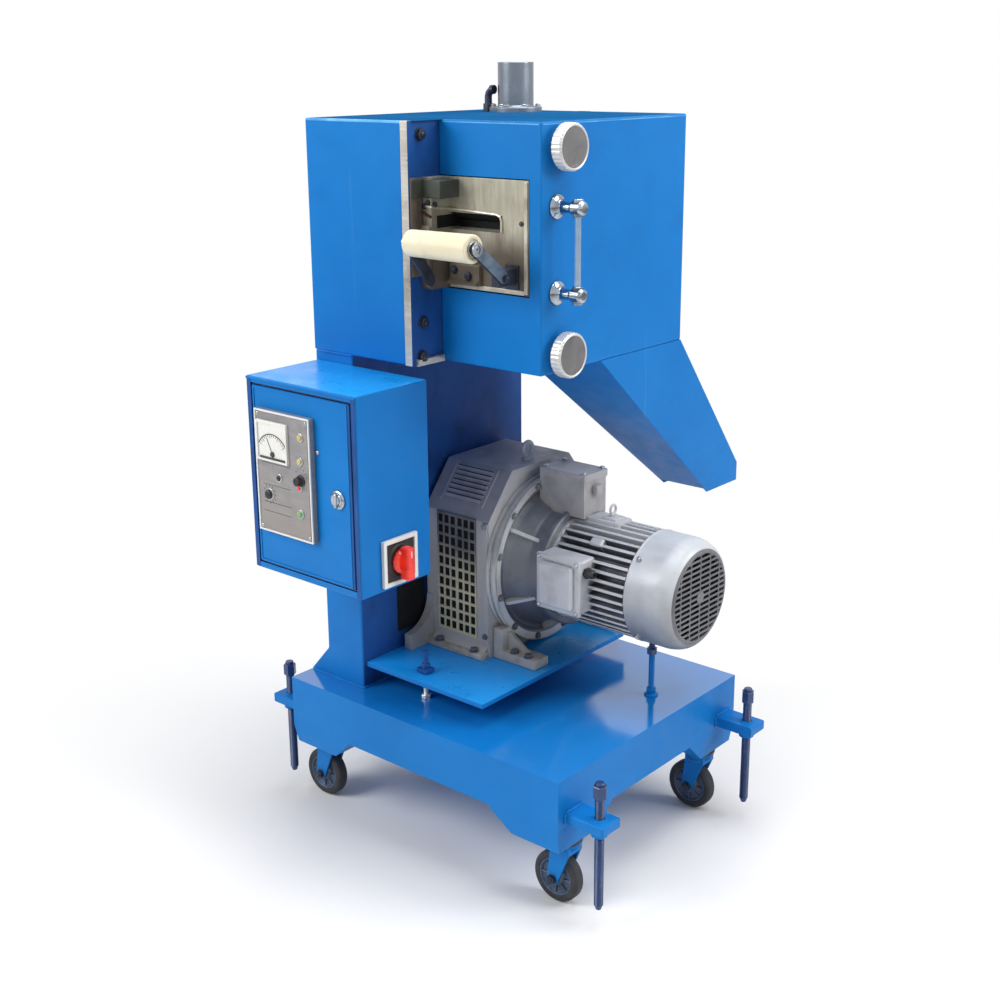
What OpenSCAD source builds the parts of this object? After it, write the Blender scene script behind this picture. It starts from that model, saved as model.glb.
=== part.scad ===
// Strand granule cutter on a wheeled base: base frame, drive column, cutter head, control box and motor.
// The machine stands on the floor at z = 0, its feed mouth faces -Y and its motor fan faces +X.

/* [Base frame] */
// Width of the base along X
base_w = 700; // [600:5:840]
// Depth of the base along Y
base_d = 590; // [560:5:700]
// Height of the base skirts with the top plate
base_h = 100; // [80:5:120]
// Thickness of the base sheet
base_sheet = 6; // [4:1:10]

/* [Casters] */
// Diameter of a caster wheel
wheel_dia = 102; // [80:1:106]
// Width of a caster wheel
wheel_w = 26; // [22:1:34]
// Height from the floor to the top of a caster
caster_h = 140; // [136:1:156]
// Height of the foot between a caster and the base skirt
pad_h = 46; // [20:1:60]
// Swivel offset of a caster wheel
caster_trail = 16; // [12:1:28]
// Distance of a caster's swivel axis from the left or right side of the base
caster_inset_x = 36; // [34:1:60]
// Distance of a caster's swivel axis from the front or back of the base
caster_inset_y = 70; // [40:1:80]

/* [Levelling jacks] */
// Diameter of a jack screw
jack_dia = 18; // [12:1:20]
// Distance of a jack screw from the side of the base
jack_out = 58; // [50:1:70]
// Distance of a jack screw from the front or back of the base
jack_inset = 45; // [35:1:60]
// Gap between a raised jack screw and the floor
jack_lift = 36; // [20:1:50]
// Thickness of a jack lug
lug_t = 20; // [14:1:26]

/* [Column] */
// Width of the drive column along X
column_w = 100; // [80:5:120]
// Height of the column between the base and the head
column_h = 688; // [640:4:740]
// Depth of the column along Y
column_d = 505; // [450:5:520]
// Distance from the front edge of the base to the front of the column
column_front = 57; // [50:1:70]

/* [Cutter head] */
// Width of the drive housing along X
housing_w = 265; // [240:5:300]
// Width of the hood beside the drive housing
hood_w = 235; // [200:5:270]
// Depth of the head along Y
head_d = 520; // [480:5:560]
// Height of the head
head_h = 436; // [400:4:480]
// Distance that the hood's front stands behind the housing's front
hood_setback = 79; // [60:1:100]
// Thickness of the steel side plate
side_plate_t = 18; // [12:1:24]
// Thickness of the hood's sheet
hood_sheet = 3; // [2:0.5:5]

/* [Control box] */
// Width of the control box
box_w = 290; // [260:5:320]
// Height of the control box
box_h = 375; // [340:5:400]
// Depth of the control box
box_d = 180; // [150:5:200]
// Thickness of the control box sheet
box_sheet = 2; // [1.5:0.5:3]

/* [Motor] */
// Height of the motor shaft above the motor plate
shaft_h = 180; // [170:1:200]
// Distance from the front edge of the base to the motor shaft
shaft_y = 402; // [380:1:420]
// Gap between the clutch flange's rim and the motor plate
rim_gap = 4; // [2:1:12]
// Radius of the fan cowl
cowl_r = 112; // [104:1:118]
// Thickness of the motor plate
plate_t = 10; // [6:1:14]
// Height of the motor plate's top above the base
plate_rise = 55; // [45:1:70]

/* [Guide roller and feed mouth] */
// Diameter of the guide roller
roller_dia = 50; // [40:1:56]
// Length of the guide roller
roller_len = 158; // [120:2:170]
// Width of the feed mouth
mouth_w = 120; // [90:2:140]

/* [Hidden] */
$fn = 64;

// Running clearance on the radius of a screw, pin or axle
fit = 0.08;
// Gap between two faces that stand against each other on different bodies
touch = 0.3;

blue = [0.06, 0.42, 0.85];
grey = [0.55, 0.56, 0.56];
steel = [0.75, 0.75, 0.74];

// Levels
skirt_z = caster_h + pad_h;
base_top = skirt_z + base_h;
head_z = base_top + column_h;
head_top = head_z + head_h;
plate_top = base_top + plate_rise;
shaft_z = plate_top + shaft_h;

// Column and head: their left sides are in one plane
column_x0 = -base_w / 2 + 55;
column_x1 = column_x0 + column_w;
column_y0 = column_front;
column_y1 = column_y0 + column_d;
head_x0 = column_x0;
housing_x1 = head_x0 + housing_w;
head_x1 = housing_x1 + hood_w;
head_y0 = column_y0 - 5;
head_y1 = head_y0 + head_d;
hood_y0 = head_y0 + hood_setback;

// Control box on the column's front
box_x0 = column_x0 + 4;
box_x1 = box_x0 + box_w;
box_y1 = column_y0;
box_y0 = box_y1 - box_d;
box_z1 = head_z - 20;
box_z0 = box_z1 - box_h;

// Door in the front of the control box
door_rim = 16;
door_gap = 4;
door_t = 2;
door_w = box_w - 2 * door_rim;
door_h = box_h - 2 * door_rim;
door_x0 = box_x0 + door_rim;
door_z0 = box_z0 + door_rim;
hinge_r = 4;
hinge_x = door_x0 + 24;
hinge_y = box_y0 + 6;
latch_x = box_x1 - 50;
latch_z = box_z0 + 180;
latch_r = 14;
cam_len = 49;
panel_x0 = box_x0 + 26;
panel_w = latch_x - latch_r - 45 - panel_x0;
panel_h = 242;
panel_t = 12;
panel_z0 = box_z0 + 78;
panel_front = box_y0 - panel_t;
knob_proud = 14;

meter_w = 86;
meter_h = 76;
speed_r = 9;

// Isolator on the right side of the control box
isolator_t = 8;
isolator_w = 88;
isolator_h = 90;
isolator_y = box_y1 - 86;
isolator_z = box_z0 + 53;
isolator_r = 24;
isolator_grip_w = 18;
isolator_grip_h = 58;

// Chute below the hood
chute_y0 = 307;
chute_y1 = 690;
chute_y2 = 807;
chute_drop = 345;
chute_lip = 40;
chute_out_w = 110;
chute_sheet = 3;
chute_z = head_z - chute_drop;
chute_x0 = housing_x1 + 24;

// Caster fork and the tapered foot that carries it
foot_top = caster_inset_y + 95;
foot_bottom = caster_inset_y + 45;
foot_margin = 8;
fork_w = 44;
fork_z = wheel_dia + 8;

// The frame's origin lies under the middle of the machine's box
front_most = panel_front - knob_proud;
back_most = chute_y2;
y_mid = (front_most + back_most) / 2;

// Lugs that hold the jack screws
lug_half = 26;
lug_z = skirt_z + 12;

// Motor plate: its back corner is cut off beside the motor's back foot
plate_x1 = column_x1 + 311;
plate_y0 = column_y0 + 9;
plate_y1 = plate_y0 + 455;
plate_y2 = column_y1 + 14;
plate_cut_x = plate_x1 - 36;
stud_r = 5.5;
stud_nut_r = 9;
stud_x = column_x1 + 127;
stud_y = column_y0 + 49;
clip_w = 28;
clip_d = 24;
clip_t = 10;
prop_r = 6;
prop_x = 270;
prop_nut_r = 11;

// Motor along X
clutch_x0 = column_x1 + 12;
clutch_x1 = 0;
flange_t = 26;
bell_x1 = 88;
cowl_x1 = 378;
cowl_len = 102;
body_x1 = cowl_x1 - cowl_len + 6;
body_r = cowl_r - 4;
clutch_r = shaft_h - rim_gap;
clutch_half = 165;
clutch_top = 200;
shoulder_z = 110;
shoulder_y = 92;
foot_y = 134;
foot_w = 44;
foot_len = 110;
foot_t = 22;
housing_foot = 24;
housing_foot_t = 13;
flare_r = 70;
flare_t = 18;
flare_rise = 32;
grille_x0 = -150;
grille_w = 104;
grille_h = 255;
grille_t = 3;
grille_rise = 35;
coil_box_w = 112;
coil_box_d = 72;
eye_x = -48;
motor_eye_x = 170;
terminal_w = 104;
terminal_h = 112;
terminal_d = 74;
terminal_lid = 6;
terminal_y = shaft_y - 148;

// Feed plate, mouth and roller
cheek_w = 22;
feed_x1 = head_x1 - 26;
feed_z0 = head_z + 137;
feed_z1 = head_z + 340;
mouth_x0 = housing_x1 + cheek_w;
mouth_z0 = head_z + 247;
mouth_h = 14;
mouth_depth = 26;
pocket_h = 26;
plate_front_t = 6;
cheek_depth = 46;
clamp_h = 32;
clamp_t = 5;
roller_x0 = housing_x1 + 22;
roller_y = head_y0 - 34;
roller_z = head_z + 231;
axle_r = 6;
arm_t = 6;
arm_w = 24;
arm_foot_z = head_z + 158;

// Hand nuts and handle on the hood's side
nut_r = 41;
nut_t = 34;
nut_y = head_y0 + 130;
nut_z = [head_z + 34, head_z + 394];
handle_y = head_y0 + 122;
handle_z = [head_z + 143, head_z + 293];
bar_r = 5.5;

// Suction pipe on the drive housing
pipe_x = -150;
pipe_y = 490;
pipe_r = 36;
pipe_wall = 3;
pipe_h = 86;
pipe_flange_r = 53;
pipe_flange_t = 10;

module place() {
    translate([0, -y_mid, 0]) children();
}

module rounded(w, h, r) {
    translate([r, 0]) square([w - 2 * r, h]);
    translate([0, r]) square([w, h - 2 * r]);
    for (x = [r, w - r], y = [r, h - r]) translate([x, y]) circle(r);
}

module slab_xz(w, h, t, r) {
    rotate([90, 0, 0]) translate([0, 0, -t]) linear_extrude(t) rounded(w, h, r);
}

module rod_x(r, x0, x1) {
    translate([x0, 0, 0]) rotate([0, 90, 0]) cylinder(r = r, h = x1 - x0);
}

module rod_y(r, y0, y1) {
    translate([0, y1, 0]) rotate([90, 0, 0]) cylinder(r = r, h = y1 - y0);
}

// Base frame

module corner(sx, sy) {
    translate([sx * base_w / 2, sy > 0 ? base_d : 0, 0]) mirror([sx > 0 ? 1 : 0, 0, 0]) mirror([0, sy > 0 ? 1 : 0, 0])
        children();
}

module foot_side(margin) {
    polygon([
        [0, skirt_z + base_sheet], [foot_top, skirt_z + base_sheet], [foot_top, skirt_z], [foot_bottom, caster_h],
        [margin, caster_h], [0, skirt_z - margin]
    ]);
}

module caster_foot() {
    intersection() {
        rotate([90, 0, 0]) translate([0, 0, -foot_top]) linear_extrude(foot_top) foot_side(4);
        rotate([90, 0, 90]) linear_extrude(foot_top) foot_side(foot_margin);
    }
}

module base_frame() {
    color(blue) place() {
        difference() {
            translate([-base_w / 2, 0, skirt_z]) cube([base_w, base_d, base_h]);
            translate([-base_w / 2 + base_sheet, base_sheet, skirt_z - 1])
                cube([base_w - 2 * base_sheet, base_d - 2 * base_sheet, base_h - base_sheet + 1]);
        }
        for (sx = [-1, 1], sy = [-1, 1]) corner(sx, sy) caster_foot();
    }
}

module jack_lugs() {
    color(blue) place() for (sx = [-1, 1], y = [jack_inset, base_d - jack_inset]) difference() {
        translate([sx > 0 ? base_w / 2 : -base_w / 2 - jack_out - lug_half, y - lug_half, lug_z])
            cube([jack_out + lug_half, 2 * lug_half, lug_t]);
        translate([sx * (base_w / 2 + jack_out), y, skirt_z]) cylinder(r = jack_dia / 2 + fit, h = lug_t + 24);
    }
}

module jack(sx, y) {
    color(blue) place() translate([sx * (base_w / 2 + jack_out), y, 0]) {
        translate([0, 0, jack_lift]) cylinder(r = jack_dia / 2, h = base_top - jack_lift - 20);
        translate([0, 0, base_top - 26]) cylinder(r = jack_dia * 0.72, h = 30, $fn = 6);
    }
}

module jack_front_left() jack(-1, jack_inset);
module jack_front_right() jack(1, jack_inset);
module jack_back_left() jack(-1, base_d - jack_inset);
module jack_back_right() jack(1, base_d - jack_inset);

// Casters: at rest all wheels trail towards -X

module caster_place(sx, sy) {
    translate([sx * (base_w / 2 - caster_inset_x), sy > 0 ? base_d - caster_inset_y : caster_inset_y, 0]) children();
}

module fork_leg(x) {
    polygon([
        [-fork_w / 2, fork_z + 2], [fork_w / 2, fork_z + 2], [x + 13, wheel_dia / 2], [x + 7, wheel_dia / 2 - 11],
        [x - 7, wheel_dia / 2 - 11], [x - 13, wheel_dia / 2]
    ]);
}

module caster(sx, sy) {
    color(blue) place() caster_place(sx, sy) {
        translate([0, 0, caster_h - 14]) cylinder(r = 30, h = 14 - touch);
        for (s = [-1, 1]) rotate([90, 0, 0]) translate([0, 0, s * (wheel_w / 2 + 5) - 2]) linear_extrude(4)
            fork_leg(-caster_trail);
        translate([-caster_trail, 0, wheel_dia / 2]) rod_y(axle_r, -wheel_w / 2 - 9, wheel_w / 2 + 9);
        translate([-fork_w / 2, -wheel_w / 2 - 7, fork_z]) cube([fork_w, wheel_w + 14, caster_h - 14 - fork_z]);
    }
}

module caster_front_left() caster(-1, -1);
module caster_front_right() caster(1, -1);
module caster_back_left() caster(-1, 1);
module caster_back_right() caster(1, 1);

module wheel(sx, sy) {
    color([0.1, 0.1, 0.1]) place() caster_place(sx, sy) translate([-caster_trail, 0, wheel_dia / 2])
        rotate([90, 0, 0]) rotate_extrude() difference() {
            translate([axle_r + fit, -wheel_w / 2]) square([wheel_dia / 2 - axle_r - fit, wheel_w]);
            for (s = [-1, 1]) translate([24, s * wheel_w / 2]) circle(7);
        }
}

module wheel_front_left() wheel(-1, -1);
module wheel_front_right() wheel(1, -1);
module wheel_back_left() wheel(-1, 1);
module wheel_back_right() wheel(1, 1);

// Column

module column() {
    color(blue) place() {
        translate([0, column_y1, 0]) rotate([90, 0, 0]) linear_extrude(column_d) polygon([
            [-base_w / 2, base_top], [column_x1, base_top], [column_x1, head_z], [column_x0, head_z],
            [column_x0, base_top + 62]
        ]);
    }
}

// Motor plate and its supports

module motor_plate() {
    color(blue) place() translate([0, 0, plate_top - plate_t]) linear_extrude(plate_t) polygon([
        [column_x1, plate_y0], [plate_x1, plate_y0], [plate_x1, plate_y1], [plate_cut_x, plate_y2],
        [column_x1, plate_y2]
    ]);
}

module plate_stud() {
    color(steel) place() translate([stud_x, stud_y, 0]) {
        translate([0, 0, base_top]) cylinder(r = stud_r, h = plate_rise - plate_t);
        translate([0, 0, base_top]) cylinder(r = stud_nut_r, h = 8, $fn = 6);
        translate([-clip_w / 2, -clip_d / 2, plate_top]) cube([clip_w, clip_d, clip_t]);
        translate([0, 0, plate_top + clip_t]) cylinder(r = stud_nut_r, h = stud_nut_r, $fn = 6);
        translate([0, 0, plate_top + clip_t + stud_nut_r]) cylinder(r = stud_r, h = 28);
    }
}

module motor_prop() {
    color([0.1, 0.15, 0.3]) place() translate([prop_x, shaft_y, base_top]) {
        cylinder(r = prop_r, h = shaft_z - base_top - body_r);
        translate([0, 0, plate_rise + 35]) cylinder(r = prop_nut_r, h = 12, $fn = 6);
    }
}

// Motor

module clutch_outline() {
    polygon([
        [-clutch_half, -shaft_h], [clutch_half, -shaft_h], [clutch_half, shoulder_z], [shoulder_y, clutch_top],
        [-shoulder_y, clutch_top], [-clutch_half, shoulder_z]
    ]);
}

// Curved gusset in front of the housing, beside the column
module clutch_flare() {
    rotate([90, 0, 90]) linear_extrude(flare_t) difference() {
        translate([-flare_r - 2, 0]) square([flare_r + 3, flare_r + flare_rise]);
        translate([-flare_r - 2, flare_r + flare_rise]) circle(flare_r);
    }
}

module clutch_housing() {
    color(grey) place() {
        translate([clutch_x0, shaft_y, shaft_z]) rotate([90, 0, 90])
            linear_extrude(clutch_x1 - clutch_x0 - flange_t / 2) clutch_outline();
        translate([clutch_x0, shaft_y - clutch_half - housing_foot, plate_top])
            cube([clutch_x1 - clutch_x0 - flange_t / 2 - 4, housing_foot + 1, housing_foot_t]);
        translate([clutch_x0, shaft_y - clutch_half, plate_top]) clutch_flare();
    }
}

module clutch_grilles() {
    color([0.4, 0.4, 0.38]) place() for (s = [-1, 1])
        translate([grille_x0, shaft_y + s * (clutch_half + grille_t / 2) - grille_t / 2, plate_top + grille_rise])
            cube([grille_w, grille_t, grille_h]);
}

module bell(g = 0) {
    rotate([0, 90, 0]) rotate_extrude() polygon([
        [0, -flange_t / 2 - g], [clutch_r + g, -flange_t / 2 - g], [clutch_r + g, flange_t / 2 + g],
        [clutch_r - 18 + g, flange_t / 2 + g], [clutch_r - 30 + g, 4 + g], [118 + g, 46 + g], [118 + g, bell_x1 + g],
        [0, bell_x1 + g]
    ]);
}

module clutch_flange() {
    color(grey) place() {
        translate([0, shaft_y, shaft_z]) bell();
        for (s = [-1, 1]) translate([-flange_t / 2, shaft_y + s * foot_y - foot_w / 2, plate_top]) {
            cube([foot_len, foot_w, foot_t]);
            cube([flange_t, foot_w, shaft_h - sqrt(clutch_r * clutch_r - pow(foot_y + foot_w / 2, 2)) + 10]);
        }
    }
}

module coil_terminal_box() {
    color(grey) place() difference() {
        translate([flange_t / 2, shaft_y - coil_box_d / 2, shaft_z + 100])
            cube([coil_box_w, coil_box_d, clutch_top - 98]);
        translate([0, shaft_y, shaft_z]) {
            bell(touch);
            rod_x(118 + touch, bell_x1 - 1, bell_x1 + 60);
        }
    }
}

module lifting_eyes() {
    color(grey) place() {
        translate([eye_x, shaft_y, shaft_z + clutch_top]) eye(15);
        translate([motor_eye_x, shaft_y, shaft_z + cowl_r + 8]) eye(9);
    }
}

module eye(r) {
    cylinder(r = r * 0.8, h = 5);
    translate([0, 0, 5 + r]) rotate([0, 90, 0]) rotate_extrude() translate([r, 0]) circle(r * 0.28);
}

module motor_body() {
    color(grey) place() translate([0, shaft_y, shaft_z]) {
        rod_x(body_r, bell_x1, body_x1);
        translate([motor_eye_x - 15, -20, 0]) cube([30, 40, cowl_r + 8]);
    }
}

module motor_terminal_box() {
    color(grey) place() difference() {
        translate([bell_x1 + 2, terminal_y, shaft_z - 46]) {
            cube([terminal_w, terminal_d, terminal_h]);
            translate([4, -terminal_lid, 5]) cube([terminal_w - 8, terminal_lid + 1, terminal_h - 10]);
        }
        translate([0, shaft_y, shaft_z]) rod_x(body_r + touch, bell_x1, body_x1);
    }
}

module cable_gland() {
    color([0.2, 0.2, 0.2]) place() translate([0, terminal_y + 30, shaft_z + 40])
        rod_x(9, bell_x1 + 2 + terminal_w, bell_x1 + 22 + terminal_w);
}

module fan_cowl() {
    color(grey) place() translate([0, shaft_y, shaft_z]) rotate([0, 90, 0]) rotate_extrude() polygon([
        [cowl_r - 3, cowl_x1 - cowl_len], [cowl_r, cowl_x1 - cowl_len], [cowl_r, cowl_x1 - 32],
        [cowl_r - 5, cowl_x1 - 16], [cowl_r - 12, cowl_x1 - 6], [cowl_r - 24, cowl_x1], [0, cowl_x1],
        [0, cowl_x1 - 3], [cowl_r - 25, cowl_x1 - 3], [cowl_r - 14, cowl_x1 - 8], [cowl_r - 8, cowl_x1 - 17],
        [cowl_r - 3, cowl_x1 - 33]
    ]);
}

// Control box

module control_box() {
    color(blue) place() difference() {
        translate([box_x0, box_y0, box_z0]) cube([box_w, box_d, box_h]);
        translate([box_x0 + box_sheet, box_y0 + box_sheet, box_z0 + box_sheet])
            cube([box_w - 2 * box_sheet, box_d - 2 * box_sheet, box_h - 2 * box_sheet]);
        translate([door_x0 - door_gap, box_y0 - 1, door_z0 - door_gap])
            cube([door_w + 2 * door_gap, box_sheet + 2, door_h + 2 * door_gap]);
    }
    color(steel) place() for (s = [0, 1]) {
        translate([hinge_x, hinge_y, s ? box_z0 + box_h - box_sheet - 34 : box_z0 + box_sheet])
            cylinder(r = hinge_r - 2, h = 34);
    }
}

module control_door() {
    color(blue) place() {
        difference() {
            translate([door_x0, box_y0, door_z0]) cube([door_w, door_t, door_h]);
            translate([latch_x, 0, latch_z]) rod_y(latch_r - 6 + fit, box_y0 - 1, box_y0 + door_t + 1);
        }
        for (z = [door_z0 + 2, door_z0 + door_h - 22]) difference() {
            union() {
                translate([hinge_x, hinge_y, z]) cylinder(r = hinge_r + 1, h = 20);
                translate([hinge_x - 2, box_y0 + door_t, z]) cube([4, hinge_y - box_y0 - door_t, 20]);
            }
            translate([hinge_x, hinge_y, z - 1]) cylinder(r = hinge_r - 2 + fit, h = 22);
        }
    }
}

module instrument_panel() {
    color(steel) place() translate([panel_x0, panel_front, panel_z0]) cube([panel_w, panel_t, panel_h]);
}

module panel_meter() {
    color("white") place() translate([panel_x0 + 8, panel_front - 4, panel_z0 + 150]) cube([meter_w, 4, meter_h]);
}

module speed_knob() {
    color([0.1, 0.1, 0.1]) place() translate([panel_x0 + 128, panel_front - touch, panel_z0 + 124])
        rotate([90, 0, 0]) cylinder(r = speed_r, h = knob_proud - touch);
}

module door_latch() {
    color(steel) place() translate([latch_x, 0, latch_z]) {
        rod_y(latch_r, box_y0 - 13, box_y0 - touch);
        rod_y(latch_r - 6, box_y0 - 1, box_y0 + 10);
        translate([-6, box_y0 + 7, -6]) cube([12, 3, cam_len]);
    }
}

module isolator_base() {
    color("white") place() translate([box_x1, isolator_y - isolator_w / 2, isolator_z - isolator_h / 2]) cube([isolator_t, isolator_w, isolator_h]);
}

module isolator_handle() {
    color("red") place() translate([box_x1 + isolator_t + touch, isolator_y, isolator_z]) {
        rotate([0, 90, 0]) cylinder(r = isolator_r, h = 12);
        translate([0, -isolator_grip_w / 2, -isolator_grip_h / 2]) cube([26, isolator_grip_w, isolator_grip_h]);
    }
}

// Cutter head

module drive_housing() {
    color(blue) place() translate([head_x0, head_y0, head_z])
        cube([housing_w - side_plate_t, head_d, head_h]);
}

module side_plate() {
    color(steel) place() {
        translate([housing_x1 - side_plate_t, head_y0 - 2, head_z]) cube([side_plate_t, head_d, head_h]);
        translate([housing_x1 - 1, head_y0 + 8, head_z]) cube([9, hood_setback - 10, 12]);
    }
}

module cutter_hood() {
    color(blue) place() difference() {
        translate([housing_x1, hood_y0, head_z]) cube([hood_w, head_y1 - hood_y0, head_h]);
        translate([housing_x1 - 1, hood_y0 + hood_sheet, head_z + hood_sheet])
            cube([hood_w - hood_sheet + 1, head_y1 - hood_y0 - 2 * hood_sheet, head_h - 2 * hood_sheet]);
        translate([housing_x1 - 1, hood_y0 - 1, feed_z0])
            cube([feed_x1 - housing_x1 + 1, hood_sheet + 2, feed_z1 - feed_z0]);
        translate([chute_x0 + chute_sheet, chute_y0 + 8, head_z - 1])
            cube([head_x1 - chute_x0 - 2 * chute_sheet, head_y1 - chute_y0 - 14, hood_sheet + 2]);
    }
}

module chute_side(g) {
    polygon([
        [chute_y0 + 2 * g, head_z + g], [chute_y1 + g, chute_z - g], [chute_y2 - g, chute_z - g],
        [chute_y2 - g, chute_z + chute_lip - g / 2], [head_y1 - 2 * g, head_z + g]
    ]);
}

module chute_front(g) {
    polygon([
        [chute_x0 + g, head_z + g], [head_x1 - g, head_z + g], [head_x1 - g, chute_z - g],
        [head_x1 - chute_out_w + g, chute_z - g]
    ]);
}

module chute_form(g) {
    intersection() {
        translate([chute_x0 - 1, 0, 0]) rotate([90, 0, 90]) linear_extrude(hood_w + 2) chute_side(g);
        translate([0, chute_y2 + 1, 0]) rotate([90, 0, 0]) linear_extrude(chute_y2 - chute_y0 + 2) chute_front(g);
    }
}

module discharge_chute() {
    color(blue) place() difference() {
        chute_form(0);
        chute_form(chute_sheet);
    }
}

module feed_plate() {
    color(steel) place() difference() {
        translate([housing_x1 + cheek_w, hood_y0, feed_z0 + 2])
            cube([feed_x1 - housing_x1 - cheek_w - 2, plate_front_t, feed_z1 - feed_z0 - 4]);
        translate([mouth_x0 - 1, hood_y0 - 1, mouth_z0 - 2]) cube([mouth_w + 7, plate_front_t + 2, pocket_h + 4]);
    }
}

module feed_cheek() {
    color(steel) place() {
        translate([housing_x1, hood_y0 - cheek_depth, feed_z0 + 2])
            cube([cheek_w, cheek_depth + plate_front_t + mouth_depth, feed_z1 - feed_z0 - 4]);
        translate([housing_x1, hood_y0 - cheek_depth - 6, feed_z0 + 6]) cube([cheek_w - 2, 7, mouth_z0 - feed_z0]);
    }
}

module feed_clamp() {
    color([0.3, 0.32, 0.3]) place() {
        translate([mouth_x0, hood_y0 - cheek_depth, feed_z1 - 38]) cube([26, cheek_depth, clamp_h]);
        translate([housing_x1 + 2, hood_y0 - cheek_depth - clamp_t, feed_z1 - 38])
            cube([cheek_w + 24, clamp_t, clamp_h]);
    }
}

module feed_mouth() {
    color(steel) place() translate([mouth_x0, hood_y0 + plate_front_t, mouth_z0]) difference() {
        translate([0, 0, -10]) cube([mouth_w + 18, mouth_depth, pocket_h + 22]);
        translate([-1, -1, 0]) cube([mouth_w + 1, mouth_depth + 2, mouth_h]);
        rotate([90, 0, 90]) translate([0, 0, -1]) linear_extrude(mouth_w + 7)
            polygon([[-1, -2], [0, -2], [mouth_depth - 4, 1], [mouth_depth - 4, mouth_h - 1], [0, pocket_h], [-1, pocket_h]]);
    }
}

module arm(x, y_foot) {
    translate([x, 0, 0]) rotate([90, 0, 90]) linear_extrude(arm_t) difference() {
        union() {
            polygon([
                [roller_y - 9, roller_z - 9], [roller_y + 9, roller_z + 9], [y_foot, arm_foot_z + arm_w / 2],
                [y_foot, arm_foot_z - arm_w / 2]
            ]);
            translate([roller_y, roller_z]) circle(13);
        }
        translate([roller_y, roller_z]) circle(axle_r + fit);
    }
}

module roller_arms() {
    color([0.3, 0.3, 0.32]) place() {
        arm(roller_x0 + roller_len + 2, hood_y0);
        arm(roller_x0 - arm_t - 2, hood_y0 - cheek_depth - 6);
    }
}

module guide_roller() {
    color([0.9, 0.87, 0.75]) place() translate([0, roller_y, roller_z]) rotate([0, 90, 0]) rotate_extrude() polygon([
        [0, roller_x0 - arm_t - 3], [axle_r, roller_x0 - arm_t - 3], [axle_r, roller_x0],
        [roller_dia / 2 - 5, roller_x0], [roller_dia / 2, roller_x0 + 5], [roller_dia / 2, roller_x0 + roller_len - 5],
        [roller_dia / 2 - 5, roller_x0 + roller_len], [axle_r, roller_x0 + roller_len],
        [axle_r, roller_x0 + roller_len + arm_t + 3], [0, roller_x0 + roller_len + arm_t + 3]
    ]);
}

module hand_nut(z) {
    color(steel) place() translate([0, nut_y, z]) rotate([0, 90, 0]) rotate_extrude() polygon([
        [0, head_x1 + touch], [nut_r - 16, head_x1 + touch], [nut_r - 16, head_x1 + 8], [nut_r, head_x1 + 10],
        [nut_r, head_x1 + nut_t - 3], [nut_r - 4, head_x1 + nut_t], [0, head_x1 + nut_t]
    ]);
}

module hand_nut_upper() hand_nut(nut_z[1]);
module hand_nut_lower() hand_nut(nut_z[0]);

module pull_handle() {
    color(steel) place() {
        for (z = handle_z) translate([0, handle_y, z]) rotate([0, 90, 0]) rotate_extrude() polygon([
            [0, head_x1], [22, head_x1], [22, head_x1 + 4], [16, head_x1 + 9], [10, head_x1 + 12], [10, head_x1 + 34],
            [15, head_x1 + 38], [15, head_x1 + 56], [11, head_x1 + 60], [0, head_x1 + 60]
        ]);
        translate([head_x1 + 46, handle_y, handle_z[0]]) cylinder(r = bar_r, h = handle_z[1] - handle_z[0]);
    }
}

module suction_pipe() {
    color(steel) place() translate([pipe_x, pipe_y, head_top]) difference() {
        union() {
            cylinder(r = pipe_flange_r, h = pipe_flange_t);
            translate([0, 0, pipe_flange_t]) cylinder(r = pipe_r, h = pipe_h);
        }
        translate([0, 0, -1]) cylinder(r = pipe_r - pipe_wall, h = pipe_flange_t + pipe_h + 2);
    }
}

base_frame();
jack_lugs();
jack_front_left();
jack_front_right();
jack_back_left();
jack_back_right();
caster_front_left();
caster_front_right();
caster_back_left();
caster_back_right();
wheel_front_left();
wheel_front_right();
wheel_back_left();
wheel_back_right();
column();
motor_plate();
plate_stud();
motor_prop();
clutch_housing();
clutch_grilles();
clutch_flange();
coil_terminal_box();
lifting_eyes();
motor_body();
motor_terminal_box();
cable_gland();
fan_cowl();
control_box();
control_door();
instrument_panel();
panel_meter();
speed_knob();
door_latch();
isolator_base();
isolator_handle();
drive_housing();
side_plate();
cutter_hood();
discharge_chute();
feed_plate();
feed_cheek();
feed_clamp();
feed_mouth();
roller_arms();
guide_roller();
hand_nut_upper();
hand_nut_lower();
pull_handle();
suction_pipe();
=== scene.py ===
"""Strand granule cutter on a wheeled base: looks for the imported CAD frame. Lengths in the helpers are mm."""
import bpy
import bmesh
from math import cos, hypot, inf, pi, radians, sin, sqrt
from itertools import product
from mathutils import Matrix, Vector, noise


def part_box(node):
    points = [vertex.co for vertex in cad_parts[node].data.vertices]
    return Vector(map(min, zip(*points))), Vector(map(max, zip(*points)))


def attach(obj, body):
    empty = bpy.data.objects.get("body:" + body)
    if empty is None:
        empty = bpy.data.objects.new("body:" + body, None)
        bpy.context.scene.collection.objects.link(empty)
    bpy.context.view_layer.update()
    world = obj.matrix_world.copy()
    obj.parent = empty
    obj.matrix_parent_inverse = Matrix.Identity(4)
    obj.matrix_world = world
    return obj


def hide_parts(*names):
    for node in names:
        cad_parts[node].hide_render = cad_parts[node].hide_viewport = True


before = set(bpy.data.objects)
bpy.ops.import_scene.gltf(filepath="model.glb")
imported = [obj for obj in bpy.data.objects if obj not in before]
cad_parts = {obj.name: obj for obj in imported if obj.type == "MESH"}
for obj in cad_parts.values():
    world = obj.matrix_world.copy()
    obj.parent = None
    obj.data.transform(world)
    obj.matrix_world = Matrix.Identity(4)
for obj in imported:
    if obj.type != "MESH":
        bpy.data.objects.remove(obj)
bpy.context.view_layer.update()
scene = bpy.context.scene
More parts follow.
